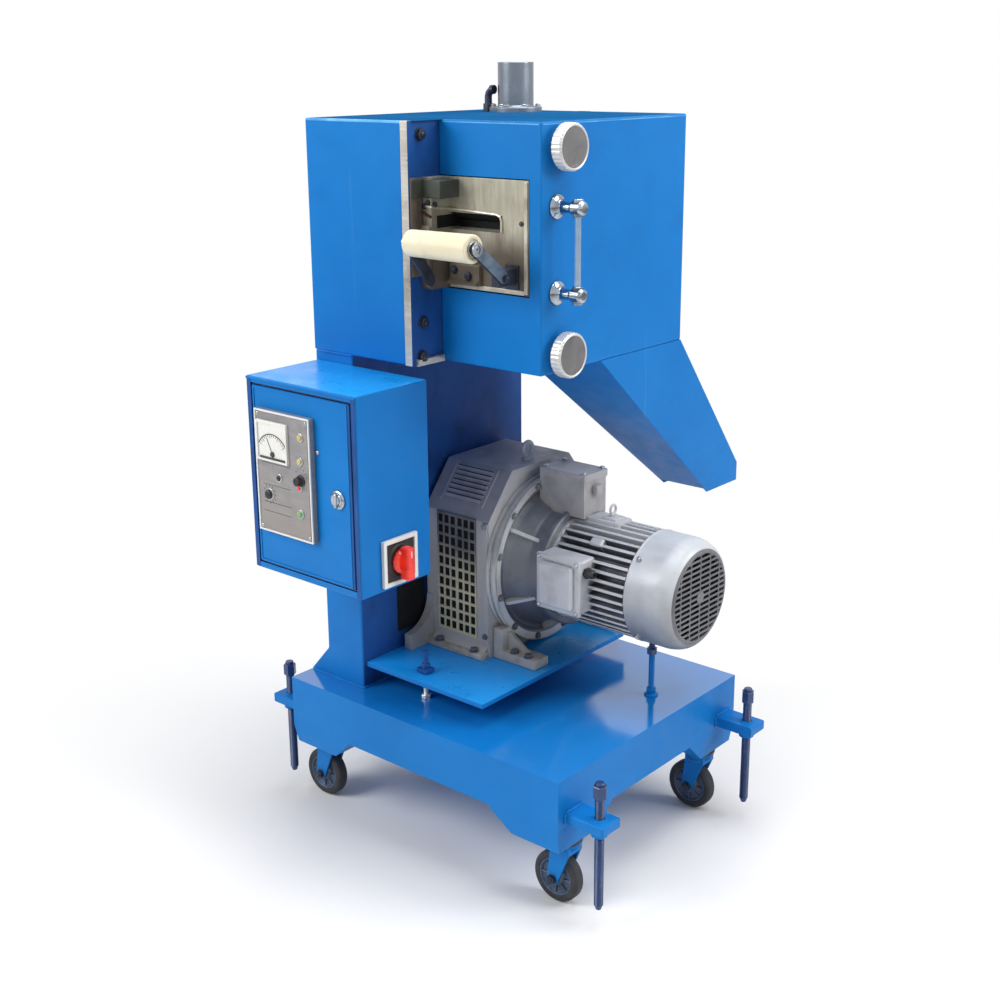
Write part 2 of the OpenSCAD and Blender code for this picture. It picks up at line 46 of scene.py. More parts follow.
CORNERS = ("front_left", "front_right", "back_left", "back_right")
SMOOTH_ANGLE = radians(32)
WELD_RIPPLE = 0.35


def B(node):
    """Lowest corner, highest corner and middle of a CAD node, in mm."""
    lo, hi = (corner * 1000 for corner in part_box(node))
    return lo, hi, (lo + hi) / 2


def V(*coordinates):
    return Vector(coordinates)


def turns(count, start=0.0):
    """Angles spaced evenly round a circle; start is a share of one step."""
    return [(k + start) * 2 * pi / count for k in range(count)]


def about(axis, at, angle):
    """A turn round an axis, then a move to a place."""
    return Matrix.Translation(at) @ Matrix.Rotation(angle, 4, axis)


def link(name, data):
    ob = bpy.data.objects.new(name, data)
    scene.collection.objects.link(ob)
    return ob


# ---------------------------------------------------------------- materials

M, SLOT = {}, {}
ONE = (1, 1, 1)
USUAL = (0.42, 0.66, 0.6, ONE)


def emptied(owner):
    """The node tree of a material or a world, without nodes."""
    owner.use_nodes = True
    owner.node_tree.nodes.clear()
    return owner.node_tree


def node(tree, kind, values=None, sources=None, operation=None):
    """A new node with values on its sockets and sources linked to them."""
    made = tree.nodes.new(kind)
    if operation:
        made.operation = operation
    for socket, value in (values or {}).items():
        made.inputs[socket].default_value = value
    for socket, source in (sources or {}).items():
        tree.links.new(source, made.inputs[socket])
    return made


def rgb(display):
    """A display colour 0xRRGGBB, made linear."""
    return tuple((c / 12.92 if c <= 0.04045 else ((c + 0.055) / 1.055) ** 2.4)
                 for c in ((display >> shift & 255) / 255 for shift in (16, 8, 0))) + (1.0,)


def finish(name, colour, rough, tones, bumps, metal=0.0, coat=0.0, spec=0.5, rough_swing=0.1, grade=None, slot=None):
    """Makes the material M[name] and notes its slot.
    tones: (colour, noise scale per m, low, high, amount, stretch), the last four as in USUAL if left out; the tone
    comes in where the noise goes from low to high.
    bumps: (noise scale per m, depth in mm, stretch if any).
    grade: (colour, height with all of it, height with none of it), for a colour towards the bottom; on some finishes
    it is painted shade or painted light."""
    mat = M[name] = bpy.data.materials.new(name)
    SLOT[name] = slot or name
    tree = emptied(mat)
    place = node(tree, "ShaderNodeTexCoord").outputs["Object"]

    def field(scale, stretch=ONE, detail=4.0, offset=0.0):
        mapping = node(tree, "ShaderNodeMapping", {
            "Scale": stretch, "Location": (offset, offset * 0.7, offset * 1.3)}, {"Vector": place})
        return node(tree, "ShaderNodeTexNoise", {"Scale": scale, "Detail": detail, "Roughness": 0.55},
                    {"Vector": mapping.outputs[0]}).outputs["Fac"]

    def ranged(value, low, high, to_low, to_high):
        return node(tree, "ShaderNodeMapRange", {
            "From Min": low, "From Max": high, "To Min": to_low, "To Max": to_high}, {"Value": value}).outputs[0]

    def blend(below, tone, factor):
        mix = node(tree, "ShaderNodeMix")
        mix.data_type = "RGBA"
        tree.links.new(factor, mix.inputs["Factor"])
        # a Mix node has one set of sockets for each data type: 6 and 7 are the colour pair
        mix.inputs[7].default_value = tone
        if isinstance(below, tuple):
            mix.inputs[6].default_value = below
        else:
            tree.links.new(below, mix.inputs[6])
        return mix.outputs[2]

    base = rgb(colour)
    for i, (tone, scale, *more) in enumerate(tones):
        low, high, amount, stretch = (*more, *USUAL[len(more):])
        base = blend(base, rgb(tone), ranged(field(scale, stretch, 5.0, i * 3.7), low, high, 0.0, amount))
    if grade:
        tint, full, none = grade
        ragged = node(tree, "ShaderNodeMath", {1: 0.12}, {
            0: field(14, (1, 1, 0.6), 4.0, 2.2),
            2: node(tree, "ShaderNodeSeparateXYZ", None, {0: place}).outputs[2]}, "MULTIPLY_ADD")
        base = blend(base, rgb(tint), ranged(ragged.outputs[0], full + 0.06, none + 0.06, 0.85, 0.0))
    normal = None
    for i, (scale, depth, *stretch) in enumerate(bumps):
        bump = node(tree, "ShaderNodeBump", {"Strength": 1.0, "Distance": depth / 1000},
                    {"Height": field(scale, *(stretch or [ONE]), 3.0, 5.3 + i)})
        if normal is not None:
            tree.links.new(normal, bump.inputs["Normal"])
        normal = bump.outputs[0]
    swing = ranged(field(25, ONE, 4.0, 9.1), 0.3, 0.7, max(rough - rough_swing, 0.03), min(rough + rough_swing, 1))
    bsdf = node(tree, "ShaderNodeBsdfPrincipled", {
        "Metallic": metal, "Specular IOR Level": spec, "Coat Weight": coat, "Coat Roughness": 0.12},
        {"Base Color": base, "Roughness": swing, "Normal": normal})
    node(tree, "ShaderNodeOutputMaterial", None, {0: bsdf.outputs[0]})


BLUE_TONES = [(0x1684D6, 2.6, 0.38, 0.66, 0.45), (0x0860A6, 6, 0.56, 0.74, 0.3, (1, 1, 1.7)),
              (0x68A6D6, 34, 0.68, 0.76, 0.12, (1, 1, 0.04)), (0x183A64, 210, 0.71, 0.76, 0.3)]
BLUE_BUMPS = [(3.2, 1.4), (160, 0.05)]
finish("blue_paint", 0x0A70BC, 0.42, BLUE_TONES, BLUE_BUMPS, coat=0.02, spec=0.16)
finish("blue_gloss", 0x1276C4, 0.13, [(0x1C86D8, 2.6, 0.38, 0.66, 0.45),
    (0x0A62A8, 6, 0.56, 0.74, 0.3, (1, 1, 1.7)), (0x70AAD8, 34, 0.68, 0.76, 0.12, (1, 0.12, 1)),
    (0x183862, 210, 0.71, 0.76, 0.3)], BLUE_BUMPS, coat=0.7, spec=0.6, rough_swing=0.05, slot="blue_paint")
# lighter blue on the control box's and motor plate's tops: painted light from above
finish("top_painted_light", 0x1694E6, 0.34, [(0x22A0EE, 3.4, 0.4, 0.66, 0.6), (0x0C78CC, 8, 0.56, 0.74, 0.45, (1, 1, 1.7)),
    (0x96C4E8, 46, 0.66, 0.76, 0.25, (1, 0.2, 1))], BLUE_BUMPS, coat=0.1, spec=0.4, slot="blue_paint")
# pale blue for the strips along the head's top edges: painted highlight
finish("edge_painted_highlight", 0x54A6E2, 0.4, [(0x78BEEC, 24), (0x1E76C4, 12, 0.5, 0.7, 0.8)], [(160, 0.05)], spec=0.35,
    slot="blue_paint")
# tops of the head: darker, matt blue as painted shade
finish("roof_painted_shade", 0x185282, 0.8, [(0x226092, 4, 0.4, 0.66, 0.6), (0x104470, 9, 0.52, 0.72, 0.5)], BLUE_BUMPS,
    spec=0.0, slot="blue_paint")
# navy: painted shade on the column's right face, the side plate's right face, the door's right edge and the box rims;
# the plate stud's nuts have this dark blue as their own paint
finish("navy_and_painted_shade", 0x1A4C90, 0.5, [(0x24589E, 9, 0.4, 0.66, 0.6), (0x16305C, 16, 0.5, 0.72, 0.7, (1, 1, 0.6)),
    (0x282C3C, 120, 0.66, 0.76, 0.4)], [(140, 0.06)], spec=0.25, slot="blue_paint")
finish("blue_dark", 0x1E3E72, 0.38, [(0x162A52, 30, 0.4, 0.7, 0.7, (1, 1, 0.5)), (0x547AAC, 90, 0.6, 0.75, 0.4)],
    [(220, 0.08)], coat=0.2, slot="blue_paint")
finish("tyre_rubber", 0x26292E, 0.72, [(0x3C3E40, 40, 0.45, 0.7, 0.6), (0x5E5C5A, 160, 0.6, 0.8, 0.35)],
    [(320, 0.12)])
finish("hub_grey", 0x48566E, 0.4, [(0x323C4E, 50, 0.45, 0.7, 0.6), (0x969CA4, 120, 0.6, 0.75, 0.4)], [(260, 0.08)],
    metal=0.2, slot="dark_steel")
finish("zinc_steel", 0xB6BABE, 0.3, [(0x8C929C, 60, 0.42, 0.68, 0.7), (0xCEC8B4, 30, 0.55, 0.7, 0.4)],
    [(400, 0.04)], metal=0.9)
finish("dark_steel", 0x3E4452, 0.4, [(0x282C38, 50, 0.42, 0.66, 0.7), (0x707682, 200, 0.62, 0.75, 0.5)],
    [(260, 0.08)], metal=0.6)
finish("motor_grey", 0xC2C4C9, 0.46, [(0xD4D6DB, 9, 0.42, 0.66, 0.7), (0x969699, 22, 0.55, 0.74, 0.5),
    (0x605A52, 70, 0.66, 0.8, 0.45)], [(420, 0.14), (30, 0.25)], metal=0.1, spec=0.4)
# darker than the motor grey and darker still lower down: painted shade in the bell
finish("bell_grey_painted_shade", 0x8C9096, 0.44, [(0x888B91, 9), (0x4E5056, 16, 0.5, 0.74, 0.6), (0x46423E, 70, 0.64, 0.8, 0.5)],
    [(420, 0.16), (24, 0.35)], metal=0.15, spec=0.4, grade=(0x505460, 0.42, 0.62), slot="motor_grey")
# lighter lower down, darker above: painted shade from the hood and chute
finish("cast_grey_painted_shade_above", 0xACACB0, 0.52, [(0xB6B6BA, 10), (0x6E6E72, 18, 0.5, 0.72, 0.55),
    (0x5C544A, 60, 0.64, 0.8, 0.5)], [(300, 0.22), (24, 0.4)], metal=0.05, spec=0.3, grade=(0xB4B2AE, 0.52, 0.72),
    slot="motor_grey")
finish("foot_grey", 0xACA8A2, 0.55, [(0xC6C4BE, 12, 0.42, 0.66, 0.7), (0x706056, 22, 0.5, 0.72, 0.75),
    (0x4E3C36, 70, 0.6, 0.78, 0.6)], [(300, 0.25), (24, 0.5)], metal=0.05, spec=0.3, slot="motor_grey")
# darker lower down: painted shade on the cowl
finish("cowl_grey_painted_shade_below", 0xC2C6CB, 0.4, [(0xD0D3D8, 5), (0x969AA0, 14, 0.56, 0.76, 0.5, (0.4, 1, 1)),
    (0x70665C, 60, 0.68, 0.8, 0.35)], [(240, 0.06), (7, 0.5)], metal=0.1, spec=0.4, grade=(0x686C72, 0.43, 0.575),
    slot="motor_grey")
finish("cowl_end", 0x68696E, 0.44, [(0x84868C, 12), (0x585654, 24, 0.52, 0.74, 0.6)], [(240, 0.08)], metal=0.1,
    spec=0.35, slot="motor_grey")
# beige lower down, dark grey above as painted shade
finish("grille_grey", 0x5C5C5E, 0.5, [(0x8A8A86, 14), (0x545454, 30, 0.55, 0.74, 0.6),
    (0x786854, 90, 0.62, 0.8, 0.5)], [(320, 0.1)], metal=0.05, spec=0.3, grade=(0xD6CDAA, 0.47, 0.57))
finish("black_plastic", 0x1E1E20, 0.42, [(0x303034, 40, 0.45, 0.7, 0.6)], [(380, 0.06)])
# near black: the fan blades' own colour; elsewhere dark sheets and faces as painted shade in the feed mouth, behind
# the grilles, under the louvres and beside the column
finish("black_and_painted_shade", 0x121416, 0.8, [(0x222422, 20, 0.45, 0.7, 0.6)], [(100, 0.1)], spec=0.2, slot="black_plastic")
finish("panel_silver", 0x908F92, 0.4, [(0xA6A2A0, 16, 0.42, 0.66, 0.6, (1, 1, 5)), (0x7A7678, 22, 0.5, 0.72, 0.6),
    (0x7E6C5E, 60, 0.58, 0.76, 0.45)], [(60, 0.05, (1, 1, 24))], metal=0.3, grade=(0x948E8A, 0.66, 0.8))
finish("white_plastic", 0xE8E8E4, 0.3, [(0xD6D6D0, 18, 0.45, 0.7, 0.5), (0xBEBCB2, 80, 0.64, 0.8, 0.4)],
    [(280, 0.04)], coat=0.2)
finish("red_plastic", 0xFE2614, 0.3, [(0xFF4A32, 24), (0xC41612, 40, 0.55, 0.74, 0.5)], [(300, 0.05)], coat=0.3)
finish("ground_steel", 0xBCB8B0, 0.34, [(0xD4D2CC, 20, 0.42, 0.66, 0.6, (1, 1, 12)), (0x968C7E, 10, 0.48, 0.7, 0.7),
    (0x705C4E, 24, 0.6, 0.78, 0.6, (1, 1, 0.5))], [(90, 0.04, (1, 1, 20))], metal=0.7)
# brown mottling: stains and painted reflection; browner lower down from stains
finish("feed_steel_stains_and_painted_reflection", 0xA4A090, 0.42, [(0xBEBCAC, 14, 0.42, 0.66, 0.6, (8, 1, 1)),
    (0x7A7468, 12, 0.46, 0.66, 0.6, (1, 1, 0.6)), (0x604C42, 26, 0.58, 0.74, 0.6, (1, 1, 0.4))],
    [(90, 0.05, (14, 1, 1))], metal=0.4, grade=(0x5C5046, 1.17, 1.235), slot="ground_steel")
finish("rim_steel", 0xBEBAAA, 0.36, [(0xD6D2C4, 20), (0x8C7E70, 30, 0.5, 0.72, 0.6)], [(160, 0.06)], metal=0.5,
    slot="ground_steel")
finish("clamp_dark", 0x3E423C, 0.55, [(0x525850, 24), (0x282624, 30, 0.5, 0.72, 0.7),
    (0x5C3E3A, 60, 0.62, 0.78, 0.5)], [(200, 0.15)], metal=0.2, spec=0.3, slot="dark_steel")
finish("worn_red", 0x402424, 0.55, [(0x3A2424, 60, 0.42, 0.66, 0.7), (0x785C54, 90, 0.58, 0.76, 0.5)],
    [(260, 0.08)], metal=0.1, spec=0.3, slot="dark_steel")
finish("stainless", 0x78808A, 0.32, [(0x98A0AA, 10, 0.42, 0.66, 0.7, (1, 1, 0.15)),
    (0x545E6C, 16, 0.5, 0.74, 0.6, (1, 1, 0.2))], [(160, 0.03, (1, 1, 12))], metal=0.8)
finish("nylon", 0xE2D9BA, 0.42, [(0xECE6CE, 12), (0xCCC094, 26, 0.54, 0.74, 0.6), (0x968A66, 130, 0.68, 0.8, 0.4)],
    [(200, 0.06, (0.3, 1, 1))], spec=0.35)
finish("knob_steel", 0x706F71, 0.42, [(0x8A8682, 20), (0x5E5C62, 30, 0.5, 0.72, 0.7)], [(260, 0.06), (40, 0.3)],
    metal=0.35)
finish("rim_white", 0xD8D8D6, 0.34, [(0xBEC0C2, 40, 0.45, 0.7, 0.6)], [(260, 0.06)], metal=0.35, slot="knob_steel")
finish("grimy_steel", 0x766C60, 0.5, [(0x968E80, 16), (0x423630, 22, 0.46, 0.68, 0.8, (1, 1, 0.5)),
    (0x282222, 50, 0.6, 0.74, 0.6)], [(160, 0.12)], metal=0.25, slot="ground_steel")
# chrome with a blue base colour: painted reflection of the blue surroundings
finish("chrome_painted_blue_reflection", 0x9EBEDC, 0.2, [(0xC4D6E8, 40)], [(300, 0.02)], metal=0.6, rough_swing=0.04, slot="chrome")
# darker grey between the fins: painted shade
finish("groove_painted_shade", 0x686A70, 0.5, [(0x82848A, 30), (0x48484E, 40, 0.5, 0.72, 0.7)], [(300, 0.1)], metal=0.1,
    spec=0.3, slot="motor_grey")
finish("chrome", 0xB2BAC2, 0.12, [(0x707A86, 26, 0.42, 0.64, 0.75)], [(300, 0.015)], metal=1.0, rough_swing=0.05)
finish("lamp_green", 0x60A054, 0.25, [(0x8CC474, 120)], [(500, 0.04)], coat=0.5, slot="panel_silver")
finish("lamp_amber", 0xC4B05C, 0.25, [(0xDCCE8C, 120)], [(500, 0.04)], coat=0.5, slot="panel_silver")
finish("ink", 0x34343A, 0.5, [(0x4C4C52, 200)], [(500, 0.02)], slot="black_plastic")
finish("steel_blue", 0x607080, 0.36, [(0x7E8E9C, 20, 0.42, 0.66, 0.6, (1, 1, 4)), (0x424C58, 30, 0.5, 0.72, 0.6)],
    [(200, 0.06)], metal=0.6, slot="dark_steel")


# ---------------------------------------------------------------- forms

def rounded(points, r, n=3):
    """An open outline with its inner corners rounded."""
    out = [Vector(points[0])]
    for a, p, b in zip(points, points[1:], points[2:]):
        a, p, b = Vector(a), Vector(p), Vector(b)
        da, db = (a - p).length, (b - p).length
        if min(da, db) < 1e-6:
            out.append(p)
            continue
        s = p + (a - p) * min(r / da, 0.45)
        e = p + (b - p) * min(r / db, 0.45)
        out += [s.lerp(p, t / n).lerp(p.lerp(e, t / n), t / n) for t in range(n + 1)]
    return out + [Vector(points[-1])]


def spot(axis, a, b, c, at=(0, 0, 0)):
    """The point a along an axis and b, c along the two that follow it, counted from at."""
    first = "xyz".index(axis)
    point = list(at)
    for step, value in enumerate((a, b, c)):
        point[(first + step) % 3] += value
    return point


def bevel(part, edges, r, seg, clamp=False):
    bmesh.ops.bevel(part, geom=edges, offset=r, segments=seg, profile=0.5, affect="EDGES", clamp_overlap=clamp)


def ring(part, axis, at, a, seg, radius):
    """Points round an axis at a; radius gives the distance for an angle."""
    return [part.verts.new(spot(axis, a, radius(t) * cos(t), radius(t) * sin(t), at)) for t in turns(seg)]


def loft(part, rings, closed=False, caps=False):
    """Faces between rings that have equal counts or one point, with flat ends if asked, all facing out."""
    if caps:
        part.faces.new(rings[0])
        part.faces.new(rings[-1])
    for p, q in zip(rings, rings[1:] + (rings[:1] if closed else [])):
        n = max(len(p), len(q))
        for k in range(n if n > 1 else 0):
            j = (k + 1) % n
            if len(p) == 1:
                part.faces.new((p[0], q[j], q[k]))
            elif len(q) == 1:
                part.faces.new((p[k], p[j], q[0]))
            else:
                part.faces.new((p[k], p[j], q[j], q[k]))
    bmesh.ops.recalc_face_normals(part, faces=part.faces)


def knurl(depth, count, least, most=inf):
    """A wave for a turned form: ribs of a depth, as a share of the radius, where the radius is within limits."""
    return lambda t, r: 1 - (depth * (0.5 + 0.5 * cos(count * t)) if least < r < most else 0)


class Form:
    """Geometry that becomes one piece. Every length is in mm, in the row frame."""

    def __init__(self):
        self.bm = bmesh.new()

    def take(self, part, matrix=None):
        if matrix is not None:
            bmesh.ops.transform(part, matrix=matrix, verts=part.verts)
        me = bpy.data.meshes.new("part")
        part.to_mesh(me)
        part.free()
        self.bm.from_mesh(me)
        bpy.data.meshes.remove(me)
        return self

    def brick(self, lo, hi, r=1.0, seg=2, matrix=None):
        part = bmesh.new()
        bmesh.ops.create_cube(part, size=1)
        span = [sorted(pair) for pair in zip(lo, hi)]
        for v in part.verts:
            v.co = [span[i][v.co[i] > 0] for i in range(3)]
        bevel(part, part.edges[:], r, seg)
        return self.take(part, matrix)

    def border(self, axis, lo, hi, widths, r, seg=2):
        """A flat picture frame across an axis. widths: of its low and high strips on each of the other two axes."""
        first = "xyz".index(axis)
        ia, ib, ic = first, (first + 1) % 3, (first + 2) % 3
        (b0, b1), (c0, c1) = widths
        outer = (lo[ib], hi[ib], lo[ic], hi[ic])
        inner = (lo[ib] + b0, hi[ib] - b1, lo[ic] + c0, hi[ic] - c1)
        part = bmesh.new()
        loft(part, [[part.verts.new(spot(axis, a, edge[b], edge[c])) for b, c in ((0, 2), (1, 2), (1, 3), (0, 3))]
                    for a, edge in ((lo[ia], outer), (lo[ia], inner), (hi[ia], inner), (hi[ia], outer))], closed=True)
        bevel(part, [e for e in part.edges if e.calc_face_angle(0) > 0.2], r, seg)
        return self.take(part)

    def prism(self, points, axis, a0, a1, r, seg=2, matrix=None):
        """A flat outline, in the other two axes in cyclic order, carried along an axis."""
        part = bmesh.new()
        loft(part, [[part.verts.new(spot(axis, a, *p)) for p in points] for a in (a0, a1)], caps=True)
        bevel(part, part.edges[:], r, seg)
        return self.take(part, matrix)

    def lathe(self, profile, axis, at, seg=48, r=0, wave=None, n=3):
        """profile: (place along the axis, radius) pairs, measured from at, with its corners rounded by r.
        A profile that leaves the axis is closed: into a ring if it never reaches it, else by flat ends."""
        part = bmesh.new()
        profile = rounded(profile, r, n) if r else profile
        profile = [tuple(p) for p in profile]
        first, last = profile[0][1] > 1e-6, profile[-1][1] > 1e-6
        closed = first and last and len(profile) > 2
        if not closed:
            profile = [(profile[0][0], 0)] * first + profile + [(profile[-1][0], 0)] * last
        loft(part, [ring(part, axis, at, a, 1 if q < 1e-6 else seg, lambda t: q * (wave(t, q) if wave else 1))
                    for a, q in profile], closed)
        return self.take(part)

    def drum(self, axis, at, r, a0, a1, seg=32, soften=0):
        return self.lathe([(a0, 0), (a0, r), (a1, r), (a1, 0)], axis, at, seg, soften)

    def hexagon(self, axis, at, r, a0, a1):
        c = 0.12 * r * (1 if a1 > a0 else -1)
        return self.lathe([(a0, 0), (a0, r * 0.93), (a0 + c, r), (a1 - c, r), (a1, r * 0.9), (a1, 0)], axis, at, 6)

    def bolt(self, axis, at, d, sign=1, washer=True):
        """A hexagon head of nominal thread d on a surface, pointing along the axis."""
        w = 0.2 * d if washer else 0
        if washer:
            self.lathe([(0, 0), (0, d * 1.05), (sign * w * 0.8, d * 1.05), (sign * w, d), (sign * w, 0)], axis, at, 24)
        self.hexagon(axis, at, d * 0.92, sign * w * 0.9, sign * (w + 0.62 * d))
        return self.lathe([(sign * w, d * 0.45), (sign * (w + 0.72 * d), d * 0.45), (sign * (w + 0.8 * d), d * 0.3),
                           (sign * (w + 0.8 * d), 0)], axis, at, 16)

    def thread(self, axis, at, r, a0, a1, pitch, seg=16):
        """A screw thread with a true helix."""
        part = bmesh.new()
        rows, depth = int((a1 - a0) / pitch * 4), pitch * 0.45
        loft(part, [ring(part, axis, at, a0 + rise, seg,
                         lambda t: r - depth * abs(2 * ((rise / pitch - t / (2 * pi)) % 1) - 1))
                    for rise in ((a1 - a0) * i / rows for i in range(rows + 1))], caps=True)
        return self.take(part)

    def tube(self, points, r, seg=10, ripple=0.0, step=None):
        """A round bar along a line, with closed ends. ripple makes it a weld bead."""
        pts = [Vector(p) for p in points]
        if step:
            fine = []
            for a, b in zip(pts, pts[1:]):
                n = max(1, int((b - a).length / step))
                fine += [a.lerp(b, i / n) for i in range(n)]
            pts = fine + [pts[-1]]
        part = bmesh.new()
        rings, side = [], None
        for i, p in enumerate(pts):
            way = (pts[min(i + 1, len(pts) - 1)] - pts[max(i - 1, 0)]).normalized()
            if side is None:
                side = way.orthogonal().normalized()
            side = (side - way * side.dot(way)).normalized()
            other = way.cross(side)
            q = r * (1 + ripple * (abs(sin(i * 1.1)) - 0.5) + ripple * 0.6 * noise.noise(p * 0.11))
            if step and i in (0, len(pts) - 1):
                q *= 0.5
            rings.append([part.verts.new(p + q * (side * cos(t) + other * sin(t))) for t in turns(seg)])
        loft(part, rings, caps=True)
        return self.take(part)

    def cad(self, name, r, small, least=7.0, pick=None, seg=3):
        """A CAD node's own shape with its edges rounded: r on the long edges of its box, small on the others."""
        part = bmesh.new()
        part.from_mesh(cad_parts[name].data)
        bmesh.ops.scale(part, vec=(1000, 1000, 1000), verts=part.verts)
        bmesh.ops.remove_doubles(part, verts=part.verts, dist=0.002)
        bmesh.ops.dissolve_limit(part, angle_limit=radians(0.6), verts=part.verts, edges=part.edges)
        sharp = [e for e in part.edges if len(e.link_faces) == 2 and e.calc_face_angle(0) > radians(25)
                 and e.calc_length() > least]
        lo, hi, _ = B(name)

        def outer(e):
            mid = (e.verts[0].co + e.verts[1].co) / 2
            return sum(min(abs(mid[i] - lo[i]), abs(mid[i] - hi[i])) < 0.05 for i in range(3)) >= 2
        big = [e for e in sharp if (pick or outer)(e)]
        rest = [e for e in sharp if e not in set(big)]
        if big:
            bevel(part, big, r, seg, True)
        rest = [e for e in rest if e.is_valid]
        if rest:
            bevel(part, rest, small, 2, True)
        bmesh.ops.remove_doubles(part, verts=part.verts, dist=0.03)
        bmesh.ops.dissolve_degenerate(part, dist=0.01, edges=part.edges)
        return self.take(part)


def piece(name, form, mat, body="machine", replaces=None, second=None):
    """Makes the object. second: (material, test of a face's normal and of its middle in mm)."""
    bm = form.bm
    bmesh.ops.scale(bm, vec=(0.001, 0.001, 0.001), verts=bm.verts)
    me = bpy.data.meshes.new(name)
    me.materials.append(M[mat])
    if second:
        me.materials.append(M[second[0]])
        bm.normal_update()
        for f in bm.faces:
            f.material_index = 1 if second[1](f.normal, f.calc_center_median() * 1000) else 0
    bm.to_mesh(me)
    bm.free()
    me.shade_smooth()
    me.set_sharp_from_angle(angle=SMOOTH_ANGLE)
    ob = link(name, me)
    ob.modifiers.new("normals", "WEIGHTED_NORMAL").keep_sharp = True
    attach(ob, body)
    if replaces:
        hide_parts(replaces)


def soft(name, mat, r, small, body="machine", least=7.0, pick=None, second=None):
    piece(name + "_skin", Form().cad(name, r, small, least, pick), mat, body, name, second)


def upward(normal, _):
    return normal.z > 0.9


welds = Form()


def weld(points, r, step=2.4):
    welds.tube(points, r, 8, WELD_RIPPLE, step)


# ---------------------------------------------------------------- base frame, lugs, jacks, casters

CORNER_WELD = 92
JACK_R = 9
CASTER_TRAIL = 16

lo, hi, _ = B("base_frame")
base_top = hi.z
soft("base_frame", "blue_gloss", 5, 2.2, second=("blue_paint", lambda n, c: n.z < 0.9))
z = base_top - 98
for (sx, x), (sy, y) in product(((-1, lo.x), (1, hi.x)), ((-1, lo.y), (1, hi.y))):
    weld([(x - sx * 2, y - sy * 4, z), (x - sx * 2, y - sy * CORNER_WELD, z)], 2.2)
    weld([(x - sx * 4, y - sy * 2, z), (x - sx * CORNER_WELD, y - sy * 2, z)], 2.2)

lug_lo, lug_hi, _ = B("jack_lugs")
soft("jack_lugs", "blue_paint", 3, 1.4, least=12)
lug_nuts = Form()
for corner in CORNERS:
    screw = "jack_" + corner
    jlo, jhi, c = B(screw)
    s, edge = (1, hi.x) if c.x > 0 else (-1, lo.x)
    zb, zt = lug_lo.z, lug_hi.z
    lug_nuts.lathe([(0, 10), (0, 15), (1.2, 14.4), (1.8, 12), (1.8, 10)], "z", (c.x, c.y, zt), 32)
    lug_nuts.lathe([(0, 10), (0, 15), (-12, 15), (-13, 14), (-13, 10)], "z", (c.x, c.y, zb), 24)
    lug_nuts.prism([(c.y - 3, zb), (c.y + 3, zb), (c.y + 3, zb - 1), (c.y - 3, zb - 1)], "x", edge, c.x, 0.3)
    x = edge + s * 1.5
    for y in (c.y - 26, c.y + 26):
        weld([(x, y, zb - 1), (x, y, zt + 1)], 2.6)
    weld([(x, c.y - 25, zt + 1), (x, c.y + 25, zt + 1)], 2.8)
    # the screw: pointed foot, threaded length, hexagon head with a stub above it
    foot, top = (c.x, c.y, jlo.z), (c.x, c.y, jhi.z)
    jack = Form().thread("z", (c.x, c.y, 0), JACK_R, jlo.z + 9, jhi.z - 34, 2.6)
    jack.lathe([(0, 0), (0, 5), (9, JACK_R - 1.2), (10, JACK_R - 1.2)], "z", foot, 24, 1.5)
    jack.lathe([(-36, 0), (-36, 8), (-30, 8.6), (-30, 0)], "z", top, 24)
    jack.hexagon("z", top, 13, -30, -6)
    jack.drum("z", top, 8.4, -7, 0, 24, 2)
    piece("jack_screw_" + corner, jack, "blue_dark", screw, screw)

    caster, wheel = "caster_" + corner, "wheel_" + corner
    wlo, whi, c = B(wheel)
    wr, ww = (whi.z - wlo.z) / 2, (whi.y - wlo.y) / 2
    stem = (c.x + CASTER_TRAIL, c.y, B(caster)[1].z)
    fork = Form().cad(caster, 1.6, 1.2, 6, pick=lambda e: True, seg=2)
    fork.lathe([(-15, 12), (-15, 24), (-22, 27), (-27, 22), (-27, 12)], "z", stem, 32, 2)
    piece("fork_" + corner, fork, "blue_paint", caster, caster)
    race = Form().lathe([(-9, 20), (-9, 31.4), (-5.5, 32.4), (-2, 31.4), (-2, 20)], "z", stem, 40, 1)
    for s in (-1, 1):
        race.bolt("y", (c.x, c.y + s * (ww + 7), c.z), 9.5, s)
    piece("caster_fixings_" + corner, race, "dark_steel", caster)
    piece("tyre_" + corner, Form().lathe([(-ww + 3, wr - 15), (-ww, wr - 13), (-ww, wr - 4.5), (-ww + 5, wr - 0.2),
        (ww - 5, wr - 0.2), (ww, wr - 4.5), (ww, wr - 13), (ww - 3, wr - 15)], "y", c, 72, 2.5), "tyre_rubber", wheel,
        wheel)
    hub = Form()
    for s in (-1, 1):
        hub.lathe([(s * a, r) for a, r in ((2, wr - 14), (ww - 1, wr - 14), (ww - 1, wr - 17), (ww - 6, wr - 20),
            (ww - 6, 19), (ww - 1.5, 16), (ww, 12), (ww, 7), (2, 7))], "y", c, 56, 1.2)
        for t in turns(8):
            hub.brick((17, s * (ww - 6.5), -1.4), (wr - 18, s * (ww - 3), 1.4), 0.6, 1, about("Y", c, t))
    piece("hub_" + corner, hub, "hub_grey", wheel)
piece("lug_nuts", lug_nuts, "blue_paint")

# ---------------------------------------------------------------- column and head

EDGE_R = 3.9

clo, chi, _ = B("column")
hlo, hhi, hc = B("drive_housing")
plo, phi, _ = B("side_plate")
hood_lo, hood_hi, _ = B("cutter_hood")
# the column's right face is navy as painted shade, the shadow under the hood and chute
soft("column", "blue_paint", 4, 3, second=("navy_and_painted_shade", lambda n, c: n.x > 0.9))
